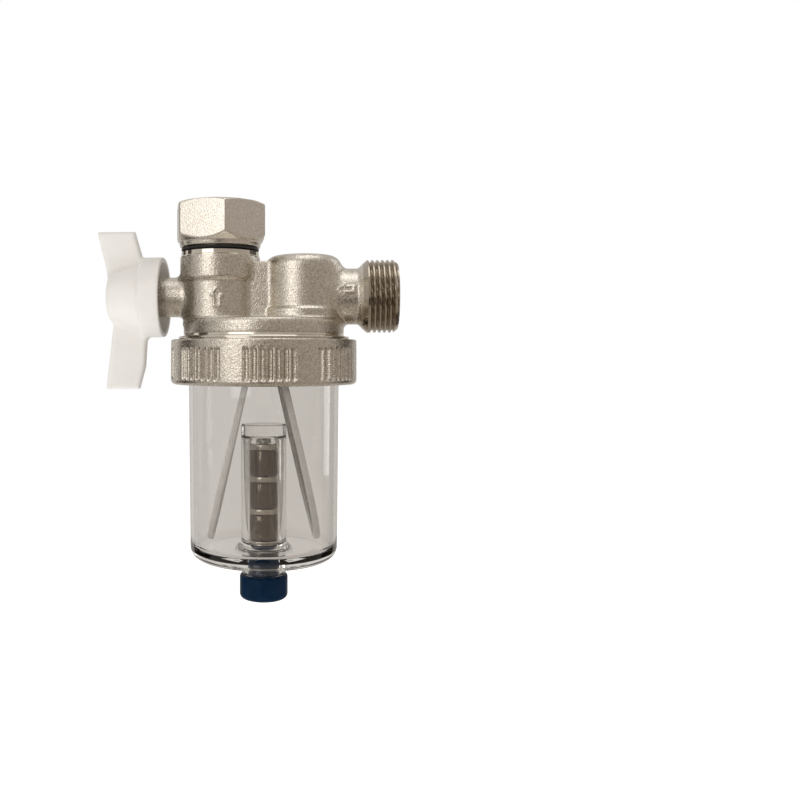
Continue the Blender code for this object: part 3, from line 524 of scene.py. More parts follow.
turned_nickel = Finish("turned_nickel", (0.76, 0.72, 0.65), 0.12, 1.0)
turned_nickel.roughness(turned_nickel.noise(0.4 * MM, 3, (0.1, 0.1, 1)), 0.07, 0.18)
turned_nickel.bump(turned_nickel.noise(0.25 * MM, 2, (0.02, 0.02, 1)), 0.02 * MM, 0.5)

thread_nickel = Finish("thread_nickel", (0.46, 0.41, 0.34), 0.14, 1.0)
thread_nickel.roughness(thread_nickel.noise(0.4 * MM, 3), 0.09, 0.2)
thread_nickel.bump(thread_nickel.noise(0.3 * MM, 2), 0.03 * MM, 0.5)

# The magnets' nickel: its dark base colour is painted shade and painted dark reflection, not the plating's
# own colour.
bright_nickel_painted_shade = Finish("bright_nickel_painted_shade", (0.19, 0.165, 0.14), 0.09, 1.0)
bright_nickel_painted_shade.roughness(bright_nickel_painted_shade.noise(3 * MM, 4), 0.05, 0.14)

bright_steel = Finish("bright_steel", (0.66, 0.62, 0.56), 0.14, 1.0)
bright_steel.roughness(bright_steel.noise(1 * MM, 4, (1, 1, 8)), 0.1, 0.22)

zinc = Finish("zinc", (0.6, 0.6, 0.58), 0.3, 1.0)
zinc.roughness(zinc.noise(1.5 * MM, 4), 0.2, 0.4)

turned_brass = Finish("turned_brass", (0.75, 0.55, 0.26), 0.25, 1.0)
turned_brass.roughness(turned_brass.noise(0.5 * MM, 3, (1, 0.05, 0.05)), 0.16, 0.34)

chrome = Finish("chrome", (0.8, 0.8, 0.8), 0.05, 1.0)
chrome.roughness(chrome.noise(4 * MM, 4), 0.03, 0.1)

screen_wire = Finish("screen_wire", (0.55, 0.53, 0.5), 0.3, 1.0)
screen_wire.roughness(screen_wire.noise(2 * MM, 3), 0.22, 0.4)
print("ten metal finishes")

# %% Finishes of the plastics and rubber
white_plastic = Finish("white_plastic", (0.8, 0.785, 0.765), 0.32)
white_plastic.colours(white_plastic.noise(9 * MM, 3), (0.785, 0.77, 0.75), (0.82, 0.81, 0.79))
white_plastic.roughness(white_plastic.noise(1.2 * MM, 4), 0.26, 0.4)
white_plastic.bump(white_plastic.noise(1.5 * MM, 3), 0.02 * MM, 0.5)

blue_plastic = Finish("blue_plastic", (0.0004, 0.014, 0.042), 0.35)
blue_plastic.set("Specular IOR Level", 0.1)
blue_plastic.colours(blue_plastic.noise(4 * MM, 4), (0.0003, 0.011, 0.034), (0.0006, 0.017, 0.05))
blue_plastic.roughness(blue_plastic.noise(0.8 * MM, 4), 0.28, 0.45)
blue_plastic.bump(blue_plastic.noise(0.6 * MM, 3), 0.02 * MM, 0.5)

frame_plastic = Finish("frame_plastic", (0.8, 0.78, 0.75), 0.4)
frame_plastic.colours(frame_plastic.noise(5 * MM, 3), (0.76, 0.74, 0.71), (0.84, 0.83, 0.8))
frame_plastic.bump(frame_plastic.noise(0.8 * MM, 3), 0.02 * MM, 0.5)

seat_plastic = Finish("seat_plastic", (0.86, 0.86, 0.84), 0.5)
seat_plastic.roughness(seat_plastic.noise(1 * MM, 3), 0.4, 0.6)

black_rubber = Finish("black_rubber", (0.012, 0.012, 0.012), 0.5)
black_rubber.roughness(black_rubber.noise(0.6 * MM, 4), 0.35, 0.65)
black_rubber.bump(black_rubber.noise(0.4 * MM, 3), 0.02 * MM, 0.5)

fibre = Finish("fibre", (0.08, 0.09, 0.085), 0.8)
fibre.colours(fibre.noise(0.5 * MM, 6, (1, 1, 0.2)), (0.05, 0.055, 0.05), (0.13, 0.14, 0.13))
fibre.bump(fibre.noise(0.3 * MM, 5), 0.04 * MM, 0.6)

clear_plastic = Finish("clear_plastic", (0.97, 0.965, 0.955), 0.02)
clear_plastic.set("Transmission Weight", 1.0)
clear_plastic.set("IOR", 1.5)
clear_plastic.roughness(clear_plastic.noise(12 * MM, 3, (1, 1, 0.2)), 0.0, 0.05)
clear_plastic.bump(clear_plastic.noise(14 * MM, 2, (1, 1, 0.1)), 0.06 * MM, 0.25)
print("seven plastics and rubbers")

# %% [markdown]
# ## The head casting
# This is the body of the filter: a valve barrel on the left, the inlet boss on the right, a web
# between them, and a round base over the bowl. It is cast, so it is the first piece made as a
# field, with fillets of one to three millimetres where the bosses meet.

# %% Head: outlines
BASE_TOP, BASE_BOTTOM = -33.2 * MM, -38.8 * MM
BASE_R = 29.3 * MM
BARREL_R, BARREL_NECK_R, BARREL_LEDGE = 14.7 * MM, 13.5 * MM, -19.0 * MM
SHOULDER_R, SHOULDER_LOW = 14.3 * MM, BARREL_TOP - 2.0 * MM
BOSS_X, BOSS_R, BOSS_TOP = FILTER_X + 14.5 * MM, 14.0 * MM, -10.1 * MM
BOSS_ROUND = 4.2 * MM
BOSS_FOOT_R, BOSS_FOOT = 15.0 * MM, -29.1 * MM
WEB_HALF, WEB_TOP = 8.0 * MM, -12.4 * MM
NECK_R, NECK_END, PORT_START = 10.2 * MM, 50.5 * MM, 53.8 * MM
THREAD_R, THREAD_ROOT_R, PITCH = 13.22 * MM, 12.06 * MM, 1.814 * MM
HANDLE_BOSS_R, HANDLE_BOSS_END = 7.35 * MM, -24.2 * MM
CHAMBER_R, CHAMBER_TOP, SEAT_R, SEAT_Z = 24.6 * MM, -37.7 * MM, 25.6 * MM, -47.5 * MM
BALL_ROOM_R, BALL_BORE_R = 10.8 * MM, 7.5 * MM
SKIRT_R, LIP_R = 29.9 * MM, 31.2 * MM
PORT_BORE_R, BOSS_BORE_R = 8.0 * MM, 9.0 * MM
CAST_STEP = 0.34 * MM

x, y, z = grid((HANDLE_BOSS_END, -LIP_R, BASE_BOTTOM - 1 * MM), (PORT_START, LIP_R, BOSS_TOP + 2 * MM),
               CAST_STEP)
from_valve, from_boss, from_filter = np.hypot(x, y), np.hypot(x - BOSS_X, y), np.hypot(x - FILTER_X, y)
from_cross = np.hypot(y, z - CROSS_Z)

base = turned_field(from_filter, z, [(0, BASE_TOP), (0, BASE_BOTTOM), (BASE_R, BASE_BOTTOM),
                                     (BASE_R, BASE_TOP - 1.6 * MM), (BASE_R - 0.5 * MM, BASE_TOP - 0.5 * MM),
                                     (BASE_R - 1.6 * MM, BASE_TOP)])
barrel = turned_field(from_valve, z, [(0, SHOULDER_LOW), (0, BASE_TOP - 2 * MM),
                                      (BARREL_NECK_R, BASE_TOP - 2 * MM),
                                      (BARREL_NECK_R, BARREL_LEDGE - 0.5 * MM),
                                      (BARREL_R, BARREL_LEDGE + 0.5 * MM),
                                      (BARREL_R, SHOULDER_LOW)])
boss = turned_field(from_boss, z, [(0, BOSS_TOP), (0, BASE_TOP - 2 * MM), (BOSS_R, BASE_TOP - 2 * MM)]
                    + arc(BOSS_R - BOSS_ROUND, BOSS_TOP - BOSS_ROUND, BOSS_ROUND, 0, 90, 7))
boss_foot = turned_field(from_boss, z, [(0, BOSS_FOOT), (0, BASE_TOP - 2 * MM),
                                        (BOSS_FOOT_R, BASE_TOP - 2 * MM),
                                        (BOSS_FOOT_R, BOSS_FOOT - 0.8 * MM),
                                        (BOSS_FOOT_R - 0.8 * MM, BOSS_FOOT)])
web = box_field(x, y, z, (0, -WEB_HALF, BASE_TOP - 2 * MM), (BOSS_X, WEB_HALF, WEB_TOP), 0.8 * MM)
neck = turned_field(from_cross, x, [(0, BOSS_X), (0, PORT_START), (THREAD_R, PORT_START), (NECK_R, NECK_END),
                                    (NECK_R, BOSS_X)])
handle_boss = turned_field(from_cross, x, [(0, HANDLE_BOSS_END), (0, 0), (HANDLE_BOSS_R, 0),
                                           (HANDLE_BOSS_R, HANDLE_BOSS_END + 0.5 * MM),
                                           (HANDLE_BOSS_R - 0.5 * MM, HANDLE_BOSS_END)])
print("cast outlines on a grid of", x.size * y.size * z.size, "samples")

# %% Head: blending the bosses
solid = blend(barrel, web, 0.8 * MM)
solid = blend(solid, boss, 0.8 * MM)
solid = blend(solid, neck, 2.4 * MM)
solid = blend(solid, handle_boss, 2.0 * MM)
solid = blend(solid, boss_foot, 0.5 * MM)
solid = blend(solid, base, 1.4 * MM)
solid = soften(solid)

# %% [markdown]
# The flow arrows stand a little proud of the casting, as a thin raised line round each arrow.
# They are drawn as a flat outline, and the field is swelled where it lies in front of the boss.

# %% Head: flow arrows
def arrow_outline(across, along, length, width):
    """Distance to the outline of an arrow that points along its second axis."""
    stem, head = width * 0.26, length * 0.42
    corners = [(-stem, -length / 2), (stem, -length / 2), (stem, length / 2 - head),
               (width / 2, length / 2 - head),
               (0, length / 2), (-width / 2, length / 2 - head), (-stem, length / 2 - head)]
    nearest = np.full(np.broadcast(across, along).shape, 1.0, dtype=np.float32)
    for (a0, b0), (a1, b1) in zip(corners, corners[1:] + corners[:1]):
        run, rise = a1 - a0, b1 - b0
        part = np.clip(((across - a0) * run + (along - b0) * rise) / (run ** 2 + rise ** 2), 0, 1)
        nearest = np.minimum(nearest, np.hypot(across - a0 - part * run, along - b0 - part * rise))
    return nearest


def raise_line(field, line, width, height):
    """Swell the front of a field along a drawn line."""
    swell = height * np.clip(1.4 - line / width, 0, 1)
    return np.where(y < 0, field - swell, field)


valve_arrow = arrow_outline(x - 0.4 * MM, z + 25.5 * MM, 6.7 * MM, 4.3 * MM)
port_arrow = arrow_outline(z - CROSS_Z - 2.0 * MM, -(x - 46.0 * MM), 5.7 * MM, 3.8 * MM)
solid = raise_line(solid, valve_arrow, 0.35 * MM, 0.35 * MM)
solid = raise_line(solid, port_arrow, 0.35 * MM, 0.35 * MM)

# %% Head: bores
valve_way = turned_field(from_valve, z, [(0, 0), (0, CHAMBER_TOP - 5 * MM),
                                         (BALL_BORE_R, CHAMBER_TOP - 5 * MM),
                                         (BALL_BORE_R, CROSS_Z - 9.7 * MM), (BALL_ROOM_R, CROSS_Z - 9.7 * MM),
                                         (BALL_ROOM_R, 0)])
boss_way = turned_field(from_boss, z, [(0, BOSS_TOP - 4 * MM), (0, CHAMBER_TOP - 5 * MM),
                                       (BOSS_BORE_R, CHAMBER_TOP - 5 * MM), (BOSS_BORE_R, BOSS_TOP - 4 * MM)])
port_way = turned_field(from_cross, x, [(0, BOSS_X), (0, FAR), (PORT_BORE_R, FAR), (PORT_BORE_R, BOSS_X)])
stem_way = turned_field(from_cross, x, [(0, -FAR), (0, 0), (3.8 * MM, 0), (3.8 * MM, -18.4 * MM),
                                        (5.3 * MM, -18.4 * MM), (5.3 * MM, -FAR)])
chamber = turned_field(from_filter, z, [(0, CHAMBER_TOP), (0, -FAR), (CHAMBER_R, -FAR),
                                        (CHAMBER_R, CHAMBER_TOP)])
for way in (valve_way, np.minimum(boss_way, port_way), stem_way, chamber):
    solid = carve(solid, way)
head_casting = cast("head_casting", solid, (x, y, z), "head", "filter_head", sharp=60)
blasted_nickel.on(head_casting)

# %% [markdown]
# ## Machined faces of the head
# Where the head was turned after casting it is bright: the shoulder under the black ring, the
# band over the ring nut, and the skirt whose thread carries the ring nut. They are turned
# pieces with crisp edges, so they catch thin bright lines.

# %% Shoulder, band and skirt
shoulder = turned("head_shoulder", densify(
    [(BALL_ROOM_R, BARREL_TOP), (BALL_ROOM_R, SHOULDER_LOW - 0.8 * MM),
     (BARREL_R - 0.1 * MM, SHOULDER_LOW - 0.8 * MM),
     (BARREL_R - 0.05 * MM, SHOULDER_LOW), (SHOULDER_R, SHOULDER_LOW + 0.3 * MM),
     (SHOULDER_R, BARREL_TOP - 0.3 * MM),
     (SHOULDER_R - 0.3 * MM, BARREL_TOP)], 1.0), "valve", "head")
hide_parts("filter_head")
LIP_TOP = BASE_BOTTOM - 0.8 * MM
LIP_BOTTOM = LIP_TOP - 0.8 * MM
GROOVE_R, GROOVE_HALF, GROOVE_TOP = 27.8 * MM, 1.25 * MM, SKIRT_BOTTOM + 2.2 * MM
SKIRT_PITCH, SKIRT_DEPTH = 2.2 * MM, 0.5 * MM


def skirt_thread(radius, height, angle):
    """Rounded thread on the outside of the skirt."""
    turn = (height / SKIRT_PITCH - angle / (2 * pi)) % 1
    wave = SKIRT_DEPTH * (1 - np.cos(2 * pi * turn)) / 2
    cut = ((height < LIP_BOTTOM - 0.6 * MM) & (height > SKIRT_BOTTOM + 0.6 * MM) &
           (radius > SKIRT_R - 0.2 * MM))
    return radius - np.where(cut, wave, 0)


skirt_side = [(SKIRT_R, SKIRT_BOTTOM + (LIP_BOTTOM - SKIRT_BOTTOM) * i / 60) for i in range(1, 61)]
band = turned("head_band", [(CHAMBER_R, BASE_BOTTOM + 0.2 * MM), (CHAMBER_R, SEAT_Z), (SEAT_R, SEAT_Z),
                            (SEAT_R, SKIRT_BOTTOM), (GROOVE_R - GROOVE_HALF, SKIRT_BOTTOM),
                            (GROOVE_R - GROOVE_HALF, GROOVE_TOP), (GROOVE_R + GROOVE_HALF, GROOVE_TOP),
                            (GROOVE_R + GROOVE_HALF, SKIRT_BOTTOM), (SKIRT_R - 0.3 * MM, SKIRT_BOTTOM)] +
                            skirt_side +
              [(LIP_R - 0.25 * MM, LIP_BOTTOM), (LIP_R, LIP_BOTTOM + 0.25 * MM), (LIP_R, LIP_TOP - 0.25 * MM),
               (LIP_R - 0.25 * MM, LIP_TOP), (BASE_R + 0.6 * MM, LIP_TOP),
               (BASE_R + 0.1 * MM, LIP_TOP + 0.3 * MM),
               (BASE_R - 0.1 * MM, BASE_BOTTOM + 0.2 * MM)], "filter", "head", around=240, shape=skirt_thread)
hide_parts("filter_head")
turned_nickel.on(shoulder, band)
print("shoulder, band and skirt")

# %% [markdown]
# ## The port's thread
# A pipe thread of three quarters of an inch has flanks at 55 degrees and a pitch of 1.814 mm.
# The turned shape takes a radius that depends on the angle, so the grooves run as a true helix.
# The first turn fades out in the end chamfer.

# %% Port thread
def thread_depth(along, angle, start):
    """How deep the thread is cut: 0 at a crest and 1 at a root."""
    turn = ((along - start) / PITCH - angle / (2 * pi)) % 1
    return np.clip((0.5 - np.abs(turn - 0.5)) * 2.6 - 0.35, 0, 1)


def port_shape(radius, along, angle):
    thread = (along > PORT_START + 0.5 * MM) & (radius > THREAD_ROOT_R + 0.3 * MM)
    cut = (THREAD_R - THREAD_ROOT_R) * thread_depth(along, angle, PORT_START)
    chamfer = THREAD_R - np.maximum(0, along - (PORT_END - 1.5 * MM)) * 0.9
    return np.where(thread, np.minimum(THREAD_R - cut, chamfer), radius)


port_side = [(THREAD_R, PORT_END - (PORT_END - PORT_START) * i / 110) for i in range(0, 111)]
port = turned("port_thread", [(PORT_BORE_R + 0.4 * MM, PORT_END), (THREAD_R - 1.6 * MM, PORT_END)] +
              port_side +
              [(NECK_R + 1.6 * MM, NECK_END + 1.6 * MM), (PORT_BORE_R, NECK_END + 1.6 * MM),
               (PORT_BORE_R, PORT_END - 0.4 * MM)], "cross", "head", around=200, shape=port_shape, sharp=35)
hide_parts("filter_head")
thread_nickel.on(port)
print("port thread of", round((PORT_END - PORT_START) / PITCH, 1), "turns")

# %% [markdown]
# ## The union nut and what it holds
# The nut is a cast hexagon, turned to a cone below and chamfered above. Its six flats are six
# distances to planes, and the cones are one turned outline, so the curved edges where they meet
# come out by themselves. Inside is the female thread that the boiler's pipe end screws into.

# %% Union nut
NUT_HALF_FLATS = 15.5 * MM
NUT_TURN = radians(12.0)
NUT_CHAMFER = radians(30)
CORNER_R = NUT_HALF_FLATS / cos(pi / 6)
HEX_BOTTOM = NUT_BOTTOM + 1.7 * MM
NUT_STEP = 0.25 * MM

x, y, z = grid((-CORNER_R, -CORNER_R, NUT_BOTTOM), (CORNER_R, CORNER_R, NUT_TOP), NUT_STEP)
from_valve = np.hypot(x, y)
flats = np.full(np.broadcast(x, y).shape, -1.0, dtype=np.float32)
for side in range(6):
    facing = radians(-90) + NUT_TURN + radians(30 + 60 * side)
    flats = np.maximum(flats, x * cos(facing) + y * sin(facing) - NUT_HALF_FLATS)
rise = CORNER_R - NUT_HALF_FLATS
cones = turned_field(from_valve, z, [(0, NUT_TOP), (0, NUT_BOTTOM), (14.7 * MM, NUT_BOTTOM),
                                     (15.0 * MM, HEX_BOTTOM),
                                     (CORNER_R + 0.5 * MM, HEX_BOTTOM + rise + 0.5 * MM),
                                     (CORNER_R + 0.5 * MM, NUT_TOP - rise * tan(NUT_CHAMFER)),
                                     (NUT_HALF_FLATS, NUT_TOP)])
hexagon = soften(np.maximum(flats, cones))
mouth = turned_field(from_valve, z, [(0, FAR), (0, -FAR), (THREAD_R - 0.1 * MM, -FAR),
                                     (THREAD_R - 0.1 * MM, FAR)])
nut = cast("nut", carve(hexagon, mouth), (x, y, z), "swivel_nut", "union_nut", sharp=35)
satin_nickel.on(nut)

# %% Nut thread, gasket, spigot and black ring
SHOULDER_Z = NUT_BOTTOM + 2.6 * MM


def nut_shape(radius, height, angle):
    thread = (height > SHOULDER_Z + 2.4 * MM) & (radius < THREAD_R - 0.2 * MM)
    cut = (THREAD_R - THREAD_ROOT_R) * thread_depth(height, angle, SHOULDER_Z)
    mouth = THREAD_R - 0.3 * MM - np.maximum(0, NUT_TOP - 0.3 * MM - height) * 1.0
    return np.where(thread, np.maximum(THREAD_ROOT_R + cut * 0.9, mouth), radius)


nut_side = [(THREAD_ROOT_R, SHOULDER_Z + (NUT_TOP - 0.3 * MM - SHOULDER_Z) * i / 110) for i in range(111)]
nut_thread = turned("nut_thread", [(THREAD_R, NUT_BOTTOM + 0.2 * MM), (THREAD_R, NUT_TOP - 0.25 * MM)] +
                    nut_side[::-1] +
                    [(10.6 * MM, SHOULDER_Z), (10.6 * MM, NUT_BOTTOM + 0.2 * MM)], "valve", "swivel_nut",
                    around=180, shape=nut_shape, sharp=35)
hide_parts("union_nut")
thread_nickel.on(nut_thread)


def ring_outline(node, hole, edge):
    """Outline of a flat ring with rounded edges, from its node's box and its hole's radius."""
    low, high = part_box(node)
    outer = (high[0] - low[0]) / 2
    a, b = low[2] + edge, high[2] - edge
    return (arc(hole + edge, b, edge, 90, 180, 3) + arc(hole + edge, a, edge, 180, 270, 3) +
            arc(outer - edge, a, edge, 270, 360, 3) + arc(outer - edge, b, edge, 0, 90, 3))


def ring(node, axis, body, hole, edge, around=128):
    return turned(node + "_fine", ring_outline(node, hole, edge), axis, body, node, around)


gasket = ring("union_gasket", "valve", "head", 8.2 * MM, 0.15 * MM)
black_ring = ring("nut_retaining_ring", "valve", "head", 10.6 * MM, 0.42 * MM)
low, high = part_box("union_spigot")
FLANGE_R = (high[0] - low[0]) / 2
FLANGE_LOW = SHOULDER_Z + 0.3 * MM
spigot = turned("spigot", arc(7.8 * MM + 0.3 * MM, high[2] - 0.3 * MM, 0.3 * MM, 90, 180, 3) +
                [(7.8 * MM, low[2]), (10.2 * MM, low[2]), (10.2 * MM, FLANGE_LOW), (FLANGE_R, FLANGE_LOW)] +
                arc(FLANGE_R - 0.3 * MM, high[2] - 0.3 * MM, 0.3 * MM, 0, 90, 3), "valve", "head",
                "union_spigot")
fibre.on(gasket)
black_rubber.on(black_ring)
turned_nickel.on(spigot)
print("union with", round((NUT_TOP - SHOULDER_Z) / PITCH, 1), "turns of thread")

# %% [markdown]
# ## The ball valve
# The ball is drilled through and slotted for the stem. It is seen only down the union's bore,
# so one field with two carvings is enough. Its seats, stem and gland nut keep their solids and
# get a proper finish.

# %% Ball
low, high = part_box("ball")
BALL_R = (high[1] - low[1]) / 2
x, y, z = grid((-BALL_R, -BALL_R, CROSS_Z - BALL_R), (BALL_R, BALL_R, CROSS_Z + BALL_R), 0.35 * MM)
sphere = np.sqrt(x ** 2 + y ** 2 + (z - CROSS_Z) ** 2) - BALL_R
sphere = carve(sphere, np.hypot(x, y) - BALL_BORE_R + 0 * z, 0.4 * MM)
slot = box_field(x, y, z, (-FAR, -FAR, CROSS_Z - 2 * MM), (-BALL_R + 2.6 * MM, FAR, CROSS_Z + 2 * MM))
ball = cast("drilled_ball", carve(sphere, slot), (x, y, z), "valve_rotor", "ball", sharp=40)
chrome.on(ball)
seat_plastic.on(nodes["ball_seat_upper"], nodes["ball_seat_lower"])
turned_brass.on(nodes["valve_stem"])
turned_nickel.on(nodes["gland_nut"])
black_rubber.on(nodes["stem_o_ring_1"], nodes["stem_o_ring_2"])
print("ball of", round(2 * BALL_R / MM, 1), "mm")

# %% [markdown]
# ## The butterfly handle
# The handle is one moulding: a cup that hides the gland, a hub, a short wing up and a long wing
# down. The wings thin out towards their tips and every edge is rounded for the fingers. Moulded
# pieces are fields too, with larger fillets than the casting's.

# %% Handle
low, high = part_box("handle")
CUP_RIM, HUB_END = high[0], -41.0 * MM
CUP_START, CUP_FLOOR, CUP_R, CUP_WALL = -28.7 * MM, -27.1 * MM, 14.75 * MM, 1.7 * MM
WING_THICK = 4.0 * MM
UPPER_WING = [(-36.0, 2.0), (-41.9, 7.5), (-42.6, 11.0), (-45.9, 24.4), (-31.7, 24.4), (-29.0, 15.0),
              (-27.2, 10.0),
              (-29.0, 2.0)]
LOWER_WING = [(-36.0, -2.0), (-38.6, -7.0), (-39.9, -11.5), (-42.6, -34.0), (-29.9, -34.0), (-27.7, -25.6),
              (-27.1, -15.0), (-28.6, -10.0), (-30.4, -2.0)]
HANDLE_STEP = 0.26 * MM
x, y, z = grid((low[0], -CUP_R, low[2]), (high[0], CUP_R, high[2]), HANDLE_STEP)
from_cross = np.hypot(y, z - CROSS_Z)
across, along = np.broadcast_arrays(x, z - CROSS_Z)


def flat_field(outline, edge):
    """Distance to a flat outline in XZ, given in millimetres, with rounded corners."""
    nearest = np.full(across.shape, 1.0, dtype=np.float32)
    inside = np.zeros(across.shape, dtype=bool)
    points = [(a * MM, b * MM) for a, b in outline]
    for (a0, b0), (a1, b1) in zip(points, points[1:] + points[:1]):
        run, up = a1 - a0, b1 - b0
        part = np.clip(((across - a0) * run + (along - b0) * up) / (run ** 2 + up ** 2), 0, 1)
        nearest = np.minimum(nearest, np.hypot(across - a0 - part * run, along - b0 - part * up))
        if up != 0:
            inside ^= (along >= min(b0, b1)) & (along < max(b0, b1)) & (across < a0 + (along - b0) * run / up)
    return np.where(inside, -nearest, nearest) + edge


def wing_field(outline, edge=1.4 * MM):
    flat = flat_field(outline, edge)
    half = WING_THICK / 2 - 0.018 * np.maximum(0, np.abs(along) - 8 * MM)
    side = np.abs(y) - half + edge
    return np.minimum(np.maximum(flat, side), 0) + np.hypot(np.maximum(flat, 0), np.maximum(side, 0)) - edge


hub = turned_field(from_cross, x, [(0, HUB_END), (0, CUP_START), (12.2 * MM, CUP_START),
                                   (12.0 * MM, CUP_START - 2 * MM),
                                   (9.3 * MM, HUB_END + 1.2 * MM), (8.6 * MM, HUB_END + 0.3 * MM),
                                   (7.6 * MM, HUB_END)])
cup = turned_field(from_cross, x, [(0, CUP_START), (0, CUP_RIM), (CUP_R - 0.3 * MM, CUP_RIM),
                                   (CUP_R, CUP_RIM - 0.4 * MM),
                                   (CUP_R, CUP_START + 1.0 * MM), (CUP_R - 1.2 * MM, CUP_START)])
moulding = blend(hub, cup, 0.6 * MM)
moulding = blend(moulding, wing_field(UPPER_WING), 1.8 * MM)
moulding = blend(moulding, wing_field(LOWER_WING), 1.8 * MM)
moulding = soften(moulding)
hollow = turned_field(from_cross, x, [(0, CUP_FLOOR), (0, FAR), (CUP_R - CUP_WALL, FAR),
                                      (CUP_R - CUP_WALL, CUP_RIM),
                                      (CUP_R - CUP_WALL - 0.6 * MM, CUP_FLOOR)])
screw_way = turned_field(from_cross, x, [(0, -FAR), (0, FAR), (3.8 * MM, FAR), (3.8 * MM, -35.1 * MM),
                                         (1.8 * MM, -35.1 * MM), (1.8 * MM, -36.7 * MM),
                                         (3.7 * MM, -36.7 * MM),
                                         (3.7 * MM, -FAR)])
moulding = carve(carve(moulding, hollow, 0.3 * MM), screw_way)
handle = cast("butterfly_handle", moulding, (x, y, z), "valve_rotor", "handle", sharp=60)
white_plastic.on(handle)

# %% Handle screw
low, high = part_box("handle_screw")
HEAD_R = (high[1] - low[1]) / 2
x, y, z = grid(low, (low[0] + 4 * MM, high[1], high[2]), 0.12 * MM)
from_cross = np.hypot(y, z - CROSS_Z)
pan = turned_field(from_cross, x, [(0, low[0]), (0, low[0] + 2.2 * MM), (HEAD_R, low[0] + 2.2 * MM),
                                   (HEAD_R, low[0] + 1.0 * MM), (HEAD_R - 0.5 * MM, low[0] + 0.3 * MM),
                                   (HEAD_R - 1.4 * MM, low[0])])
shank = turned_field(from_cross, x, [(0, low[0] + 1 * MM), (0, low[0] + 3.5 * MM),
                                     (1.5 * MM, low[0] + 3.5 * MM),
                                     (1.5 * MM, low[0] + 1 * MM)])
arms = np.minimum(box_field(x, y, z, (-FAR, -0.35 * MM, CROSS_Z - 1.9 * MM),
                            (low[0] + 1.2 * MM, 0.35 * MM, CROSS_Z + 1.9 * MM)),
                  box_field(x, y, z, (-FAR, -1.9 * MM, CROSS_Z - 0.35 * MM),
                            (low[0] + 1.2 * MM, 1.9 * MM, CROSS_Z + 0.35 * MM)))
screw = cast("pan_screw", carve(soften(np.minimum(pan, shank)), arms), (x, y, z), "valve_rotor",
             "handle_screw")
zinc.on(screw)

# %% [markdown]
# ## The ring nut
# The ring that clamps the bowl is cast and left rough, with eight groups of seven grooves for the
# hand or a strap wrench. Its lower edge is turned bright on the real ring, but here the whole ring
# carries the blasted finish. The radius dips along each groove, and the dip fades at the groove's
# ends, as the moulder's pattern had it.

# %% Ring nut
low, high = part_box("ring_nut")
RING_R, RING_LOW, RING_TOP = (high[0] - low[0]) / 2, low[2], high[2]
RING_BORE_R, RING_MOUTH_R, RING_SHOULDER = SKIRT_R + 0.4 * MM, 27.9 * MM, bottom("slip_ring") - 0.3 * MM
GROUPS, GROOVES, GROOVE_TURN = 8, 7, radians(4.6)
GROUP_START = radians(-82.5)
GROOVE_DEEP = 1.0 * MM
LOWER_ROUND, UPPER_ROUND = 1.6 * MM, 0.6 * MM


def groove_shape(radius, height, angle):
    """Dip the outer radius along the grooves and soften their ends."""
    group = (angle - GROUP_START + pi / GROUPS) % (2 * pi / GROUPS) - pi / GROUPS
    place = group / GROOVE_TURN
    inside = np.clip((GROOVES / 2 - np.abs(place)) * 6, 0, 1)
    dip = np.clip(1.25 * np.cos(pi * place) ** 2 - 0.1, 0, 1) ** 0.8 * inside
    ends = np.clip((RING_TOP - 3.0 * MM - height) / (0.7 * MM), 0, 1)
    ends = ends * np.clip((height - RING_LOW - 1.7 * MM) / (0.9 * MM), 0, 1)
    return np.where(radius > RING_R - 0.3 * MM, radius - GROOVE_DEEP * dip * ends, radius)


side_height = RING_TOP - 0.7 * MM - RING_LOW - LOWER_ROUND
side = [(RING_R, RING_LOW + LOWER_ROUND + side_height * i / 40) for i in range(41)]
ring_nut = turned("knurled_ring", [(RING_MOUTH_R, RING_SHOULDER), (RING_MOUTH_R, RING_LOW + 0.2 * MM),
                                   (RING_MOUTH_R + 0.2 * MM, RING_LOW)] +
                  arc(RING_R - LOWER_ROUND, RING_LOW + LOWER_ROUND, LOWER_ROUND, 270, 356, 7) + side +
                  arc(RING_R - UPPER_ROUND, RING_TOP - UPPER_ROUND, UPPER_ROUND, 4, 90, 4) +
                  [(RING_BORE_R + 0.2 * MM, RING_TOP), (RING_BORE_R, RING_TOP - 0.2 * MM),
                   (RING_BORE_R, RING_SHOULDER)],
                  "filter", "clamp_ring", "ring_nut", around=980, shape=groove_shape, sharp=40)
blasted_nickel.on(ring_nut)
print("ring nut with", GROUPS * GROOVES, "grooves")

# %% [markdown]
# ## The clear bowl
# The bowl is one clear moulding: a flange, a slightly tapering wall, a thick floor, a blind
# pocket for the magnets and a neck for the cap. All of it is one closed outline, because light
# only bends properly through a clear solid whose inside and outside belong together. It casts no
# shadow, because a clear solid would throw one as dark as a metal one does.

